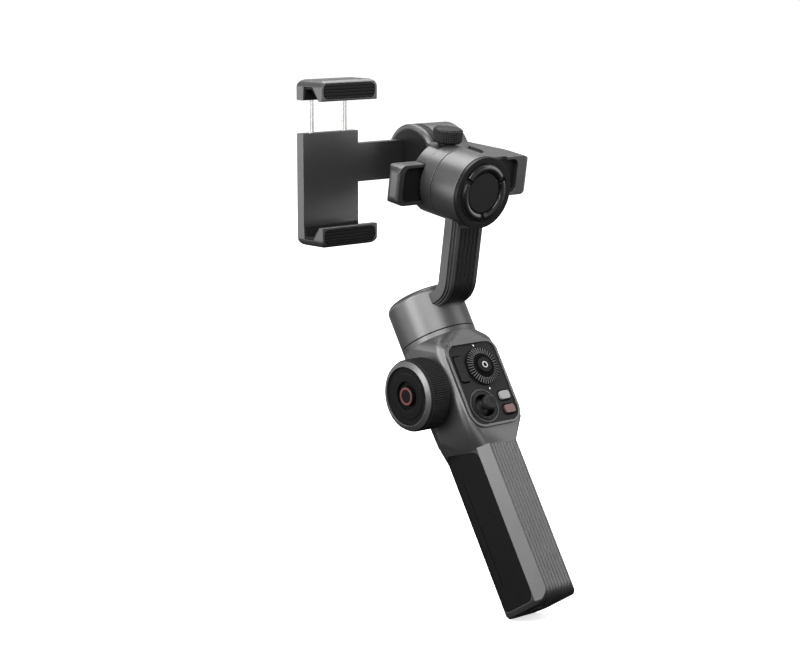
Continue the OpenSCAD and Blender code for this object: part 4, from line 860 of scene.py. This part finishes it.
class GIMBAL_OT_controls(bpy.types.Operator):
    """Panel, dial, joystick, buttons and lights"""

    bl_idname = "gimbal.controls"
    bl_label = "Controls"

    def execute(self, context):
        for node in ("control_panel", "menu_rocker"):
            skin(node, "black_plastic")
        skin("joystick_base", "deep_black")
        self.dial(context.scene.gimbal_sizes)
        skin("joystick", "stick_rubber")
        self.stick_collar()
        skin("mode_button", "light_key")
        skin("record_button", "red_key")
        for key in ("mode_button", "record_button"):
            self.key_seal(key)
        skin("indicator_lights", "lamp_lens")
        return {"FINISHED"}

    def panel_face(self):
        """Height of the panel's face, which the lights are flush with"""
        return span("indicator_lights", on_panel(0, 0))[1][2]

    def stick_collar(self):
        """Low bead on the panel round the joystick's well"""
        face = self.panel_face()
        inner, outer, sunk, tall, edge = 8.2, 9.0, 0.1, 0.35, 0.18
        bead = turned_ring("stick_collar", inner, outer, face - sunk, face + tall, edge,
                           "collar_bead")
        add_piece(set_at(bead, on_panel(*STICK_SPOT)), "handle")

    def key_seal(self, key):
        """Thin dark seal on the panel round the opening of a key"""
        face = self.panel_face()
        low, high = span(key, on_panel(0, 0))
        middle = [(low[i] + high[i]) / 2 for i in range(2)]
        half = [(high[i] - low[i]) / 2 for i in range(2)]
        seal = frame_ring(key + "_seal", half, corner=1.1, grow_by=(0.25, 1.0),
                          heights=(face - 0.1, face + 0.05), material=finish("seal_black"))
        add_piece(set_at(seal, on_panel(middle[0], -middle[1])), "handle")

    def dial(self, sizes):
        spot = on_panel(*DIAL_SPOT)
        low, high = span("control_dial", spot)
        foot, top, edge = low[2], high[2], high[0]
        seat = top - 2.0
        bore, stem, catch, shoulder, lip = 4.3, 5.5, 6.5, 6.3, 6.1  # radii
        catch_low, catch_high = 16.2, 17.2
        profile = rounded(
            [(bore, foot), (stem, foot), (stem, catch_low), (catch, catch_low),
             (catch, catch_high), (stem, catch_high), (stem, seat), (edge - 0.3, seat),
             (edge - 0.1, top - 1.2), (shoulder, top - 0.35), (lip, top), (bore, top)],
            0.12, 3, loop=True)
        dial = lathe("dial_ribbed", profile, finish("seal_black"), loop=True)
        settle_piece(set_at(dial, spot), "control_dial")
        ribs = as_object("dial_ribs", bpy.data.meshes.new("dial_ribs"))
        rise, run = 0.85, edge - 6.4  # of the dial's sloping face
        slope = math.atan2(rise, run)
        grow(ribs, rib_fan_tree(), count=sizes.dial_ribs, radius=(edge + shoulder) / 2 * MM,
             rib_radius=sizes.dial_rib, rib_length=(edge - 6.9) * MM,
             lift=(top - 0.74) * MM, slope=slope, finish=finish("dial_rib"))
        add_piece(set_at(ribs, spot), "dial")
        skin("dial_button", "black_rubber")
        crown = span("dial_button", spot)[1][2]
        inner, outer, edge = 1.15, 1.75, 0.05
        mark = turned_ring("dial_button_mark", inner, outer, crown - 0.1, crown + 0.05, edge,
                           "white_mark")
        add_piece(set_at(mark, spot), "dial_key")


class GIMBAL_OT_hand_wheel(bpy.types.Operator):
    """Hand wheel with its rim, bright ring, face and button"""

    bl_idname = "gimbal.hand_wheel"
    bl_label = "Hand Wheel"

    def execute(self, context):
        sizes = context.scene.gimbal_sizes
        low, high = span("wheel_rim", WHEEL)
        ridge, thick, shorter = sizes.wheel_ridge / MM, 2.8, 2.2
        inner, outer = high[0] - thick, high[0] - ridge
        rim = turned_ring("wheel_rim_knurled", inner, outer, low[2], high[2], 0.4,
                          "black_rubber", 5)
        grow(rim, ridge_ring_tree(), count=sizes.wheel_ridges, radius=outer * MM,
             ridge_radius=sizes.wheel_ridge, ridge_length=(high[2] - low[2] - shorter) * MM,
             lift=(low[2] + high[2]) / 2 * MM, finish=finish("black_rubber"))
        settle_piece(set_at(rim, WHEEL), "wheel_rim")
        skin("wheel_ring", "bright_ring")
        for node in ("wheel_face", "wheel_button"):
            skin(node, "turned_face")
        top = span("wheel_button", WHEEL)[1][2]
        inner, outer, edge = 3.5, 4.5, 0.1
        mark = turned_ring("wheel_button_mark", inner, outer, top - 0.1, top + 0.12, edge,
                           "red_mark", 5)
        add_piece(set_at(mark, WHEEL), "wheel_key")
        return {"FINISHED"}


class GIMBAL_OT_arms(bpy.types.Operator):
    """Motors, pan arm, slide bar and its clamp"""

    bl_idname = "gimbal.arms"
    bl_label = "Motors and Arms"

    def execute(self, context):
        for node in ("pan_rotor", "pan_arm", "roll_housing", "roll_rotor", "slide_clamp",
                     "slide_bar", "tilt_housing"):
            skin(node, "satin_arm")
        skin("arm_insert", "ribbed_black")
        for node in ("bar_insert", "tilt_rotor"):
            skin(node, "deep_black")
        skin("roll_cover", "dark_cover")
        skin("roll_badge", "badge_face")
        self.tilt_ring()
        self.bands(context.scene.gimbal_sizes)
        self.knob(context.scene.gimbal_sizes)
        return {"FINISHED"}

    def tilt_ring(self):
        """Bright sleeve round the tilt rotor, with its bevelled edge"""
        low, high = span("tilt_rotor", TILT)
        edge, left, right = high[0], low[2], span("tilt_housing", TILT)[0][2] - 0.4
        bevel, wide, proud, thick = 1.2, 3.2, 0.02, 0.2
        ring = lathe("tilt_rotor_sleeve", rounded(
            [(edge - wide, left + 0.1), (edge - wide, left - proud), (edge - bevel, left - proud),
             (edge + proud, left + bevel), (edge + proud, right), (edge - thick, right),
             (edge - thick, left + bevel + 0.1), (edge - bevel, left + 0.1)], 0.03, 2,
            loop=True), finish("satin_arm"), loop=True)
        add_piece(set_at(ring, TILT), "tilt_stage")

    def bands(self, sizes):
        face = span("roll_cover", ROLL)[1][2]
        bands = as_object("cover_bands", bpy.data.meshes.new("cover_bands"))
        grow(bands, arc_band_tree(), count=sizes.arc_bands, radius=12.6 * MM,
             half_width=1.9 * MM, height=0.75 * MM, first=math.radians(36),
             sweep=math.radians(108), lift=(face - 0.1) * MM, finish=finish("gloss_band"))
        smooth_mesh(bands.data, SHARP_SHELL)
        add_piece(set_at(bands, ROLL), "pan_stage")

    def knob(self, sizes):
        low, high = span("lock_knob", KNOB)
        edge, top = high[0] - sizes.knob_knurl / MM, high[2]
        head, stem, neck, knurled = top - 7.5, 2.5, 4.6, 6.0
        profile = rounded(
            [(0, low[2]), (stem, low[2]), (stem, head - 1.8), (neck, head - 1.8), (neck, head),
             (edge - 0.5, head), (edge, head + 0.6), (edge, top - 0.7), (edge - 0.8, top),
             (edge - 1.6, top - 0.3), (0, top - 0.3)], 0.3, 4)
        knob = lathe("lock_knob_knurled", profile, finish("knurled_rubber"))
        rows = sizes.knob_rows
        pitch = knurled / rows
        grow(knob, knurl_grid_tree(), columns=sizes.knob_columns, rows=rows, radius=edge * MM,
             pitch=pitch * MM, half_width=0.58 * pitch * MM, depth=sizes.knob_knurl,
             lift=(head + 0.75 + pitch / 2) * MM, finish=finish("knurled_rubber"))
        settle_piece(set_at(knob, KNOB), "lock_knob")


class GIMBAL_OT_jaws(bpy.types.Operator):
    """Spring clamp with its jaws, liners, treads and guide rods"""

    bl_idname = "gimbal.jaws"
    bl_label = "Jaws"

    def execute(self, context):
        for node in ("clamp_body", "upper_jaw"):
            skin(node, "satin_arm")
        for node in ("lower_jaw_pad", "upper_jaw_pad", "lower_tread", "upper_tread"):
            skin(node, "black_rubber")
        skin("guide_rods", "steel")
        return {"FINISHED"}


class GIMBAL_OT_inner_works(bpy.types.Operator):
    """Motors' cores, bearings, boards and battery inside the shells"""

    bl_idname = "gimbal.inner_works"
    bl_label = "Inner Works"

    def execute(self, context):
        paints = {
            "steel": ("trigger_pin", "wheel_axle", "joystick_cradle", "pan_bearings", "pan_shaft",
                      "roll_bearings", "roll_shaft", "tilt_bearings", "tilt_shaft"),
            "dark_steel": ("pan_magnets", "roll_magnets", "tilt_magnets"),
            "lamination": ("pan_stator", "roll_stator", "tilt_stator"),
            "satin_arm": ("pan_base",),
            "circuit_board": ("control_board", "main_board"),
            "cell_wrap": ("battery_cell",)}
        for material, nodes in paints.items():
            for node in nodes:
                repaint(node, material)
        return {"FINISHED"}


# name, setting of its strength, place from the object's middle, width and height in metres
LAMPS = (
    ("key_light", "key", (-1.05, 0.10, 0.50), 0.6, 0.9),
    ("fill_light", "fill", (0.85, -0.58, 0.26), 0.6, 1.1),
    ("side_card", "side", (-0.85, 0.95, 0.03), 1.0, 0.5),
    ("front_light", "front", (-0.55, -0.50, 0.68), 0.8, 0.6),
    ("low_card", "low", (-0.38, -0.92, -0.08), 0.7, 0.3),
    ("top_light", "top", (0.22, 0.35, 1.15), 1.4, 0.9),
)
VIEW = Vector((0.647, 0.742, -0.174))  # the photo's viewing direction
VIEW_DISTANCE = 1.109
VIEW_RIGHT, VIEW_DOWN = 0.00026, 0.08476  # camera's offset from the line through the head
FLOOR_HALF = 25.0


class GIMBAL_OT_studio(bpy.types.Operator):
    """Pale floor, soft light and the camera"""

    bl_idname = "gimbal.studio"
    bl_label = "Studio"

    def execute(self, context):
        setup = context.scene.gimbal_studio
        low, high = (Vector(c) for c in CAD_BOX)
        middle = (low + high) / 2
        self.floor(low.z)
        self.sky(context, setup.sky)
        for name, power, spot, wide, tall in LAMPS:
            self.light(name, getattr(setup, power), spot, middle, wide, tall)
        self.camera(context, setup.lens)
        context.scene.view_settings.view_transform = "Standard"
        return {"FINISHED"}

    def floor(self, level):
        mesh = bpy.data.meshes.new("floor")
        corners = [(x * FLOOR_HALF, y * FLOOR_HALF, level)
                   for x, y in ((-1, -1), (1, -1), (1, 1), (-1, 1))]
        mesh.from_pydata(corners, [], [(0, 1, 2, 3)])
        material = bpy.data.materials.new("pale_floor")
        material.use_nodes = True
        tree = material.node_tree
        cloud = place(tree, "ShaderNodeTexNoise", {
            "Vector": own_place(tree), "Scale": 4.0})
        tint = mix_node(tree, cloud.outputs["Fac"], (0.92, 0.92, 0.92, 1), (0.94, 0.94, 0.94, 1))
        shader = tree.nodes["Principled BSDF"]
        tree.links.new(tint, shader.inputs["Base Color"])
        shader.inputs["Roughness"].default_value = 0.9
        shader.inputs["Specular IOR Level"].default_value = 0.1
        shader.inputs["Emission Color"].default_value = (1, 1, 1, 1)
        shader.inputs["Emission Strength"].default_value = 0.62
        far = place(tree, "ShaderNodeMapRange", {
            "Value": from_axis(tree, own_place(tree)), "From Min": 0.25, "From Max": 1.0,
            "To Min": 0.03, "To Max": 0.8}, interpolation_type="SMOOTHSTEP")
        dull = place(tree, "ShaderNodeEmission", {"Strength": far.outputs["Result"]})
        seen = place(tree, "ShaderNodeLightPath").outputs["Is Camera Ray"]
        mixed = place(tree, "ShaderNodeMixShader", {
            0: seen, 1: dull.outputs["Emission"], 2: shader.outputs["BSDF"]})
        tree.links.new(mixed.outputs[0], tree.nodes["Material Output"].inputs["Surface"])
        as_object("floor", mesh, material)

    def sky(self, context, strength):
        world = bpy.data.worlds.new("studio_white")
        world.use_nodes = True
        back = world.node_tree.nodes["Background"]
        back.inputs["Color"].default_value = (1, 1, 1, 1)
        back.inputs["Strength"].default_value = strength
        context.scene.world = world

    def light(self, name, power, spot, target, wide, tall):
        lamp = bpy.data.lights.new(name, "AREA")
        lamp.shape = "RECTANGLE"
        lamp.size, lamp.size_y, lamp.energy = wide, tall, power
        made = bpy.data.objects.new(name, lamp)
        bpy.context.scene.collection.objects.link(made)
        made.location = target + Vector(spot)
        made.rotation_euler = (-Vector(spot)).to_track_quat("-Z", "Y").to_euler()

    def camera(self, context, lens):
        ahead = VIEW.normalized()
        right = ahead.cross(Vector((0, 0, 1))).normalized()
        up = right.cross(ahead)
        data = bpy.data.cameras.new("photo_camera")
        data.lens, data.sensor_width = lens, 36.0
        data.sensor_fit = "HORIZONTAL"
        data.clip_start, data.clip_end = 0.01, 100.0
        made = bpy.data.objects.new("photo_camera", data)
        context.scene.collection.objects.link(made)
        spot = (HEAD.to_translation() - ahead * VIEW_DISTANCE + right * VIEW_RIGHT
                - up * VIEW_DOWN)
        turned = Matrix((right, up, -ahead)).transposed().to_4x4()
        made.matrix_world = Matrix.Translation(spot) @ turned
        context.scene.camera = made


STEPS = ("finishes", "handle", "controls", "hand_wheel", "arms", "jaws", "inner_works", "studio")


class GIMBAL_PT_panel(bpy.types.Panel):
    """Lists the gimbal's settings and steps"""

    bl_label = "Phone Gimbal"
    bl_idname = "GIMBAL_PT_panel"
    bl_space_type = "VIEW_3D"
    bl_region_type = "UI"
    bl_category = "Gimbal"

    def draw(self, context):
        for group in (context.scene.gimbal_finishes, context.scene.gimbal_sizes,
                      context.scene.gimbal_studio):
            box = self.layout.box()
            for key in group.__annotations__:
                box.prop(group, key)
        for step in STEPS:
            self.layout.operator("gimbal." + step)


CLASSES = (
    GimbalFinishes, GimbalSizes, GimbalStudio, GIMBAL_OT_finishes, GIMBAL_OT_handle,
    GIMBAL_OT_controls, GIMBAL_OT_hand_wheel, GIMBAL_OT_arms, GIMBAL_OT_jaws,
    GIMBAL_OT_inner_works, GIMBAL_OT_studio, GIMBAL_PT_panel)


def register():
    for kind in CLASSES:
        bpy.utils.register_class(kind)
    bpy.types.Scene.gimbal_finishes = PointerProperty(type=GimbalFinishes)
    bpy.types.Scene.gimbal_sizes = PointerProperty(type=GimbalSizes)
    bpy.types.Scene.gimbal_studio = PointerProperty(type=GimbalStudio)


def unregister():
    for key in ("gimbal_finishes", "gimbal_sizes", "gimbal_studio"):
        delattr(bpy.types.Scene, key)
    for kind in reversed(CLASSES):
        bpy.utils.unregister_class(kind)


def main():
    register()
    for step in STEPS:
        getattr(bpy.ops.gimbal, step)()


if __name__ == "__main__":
    main()
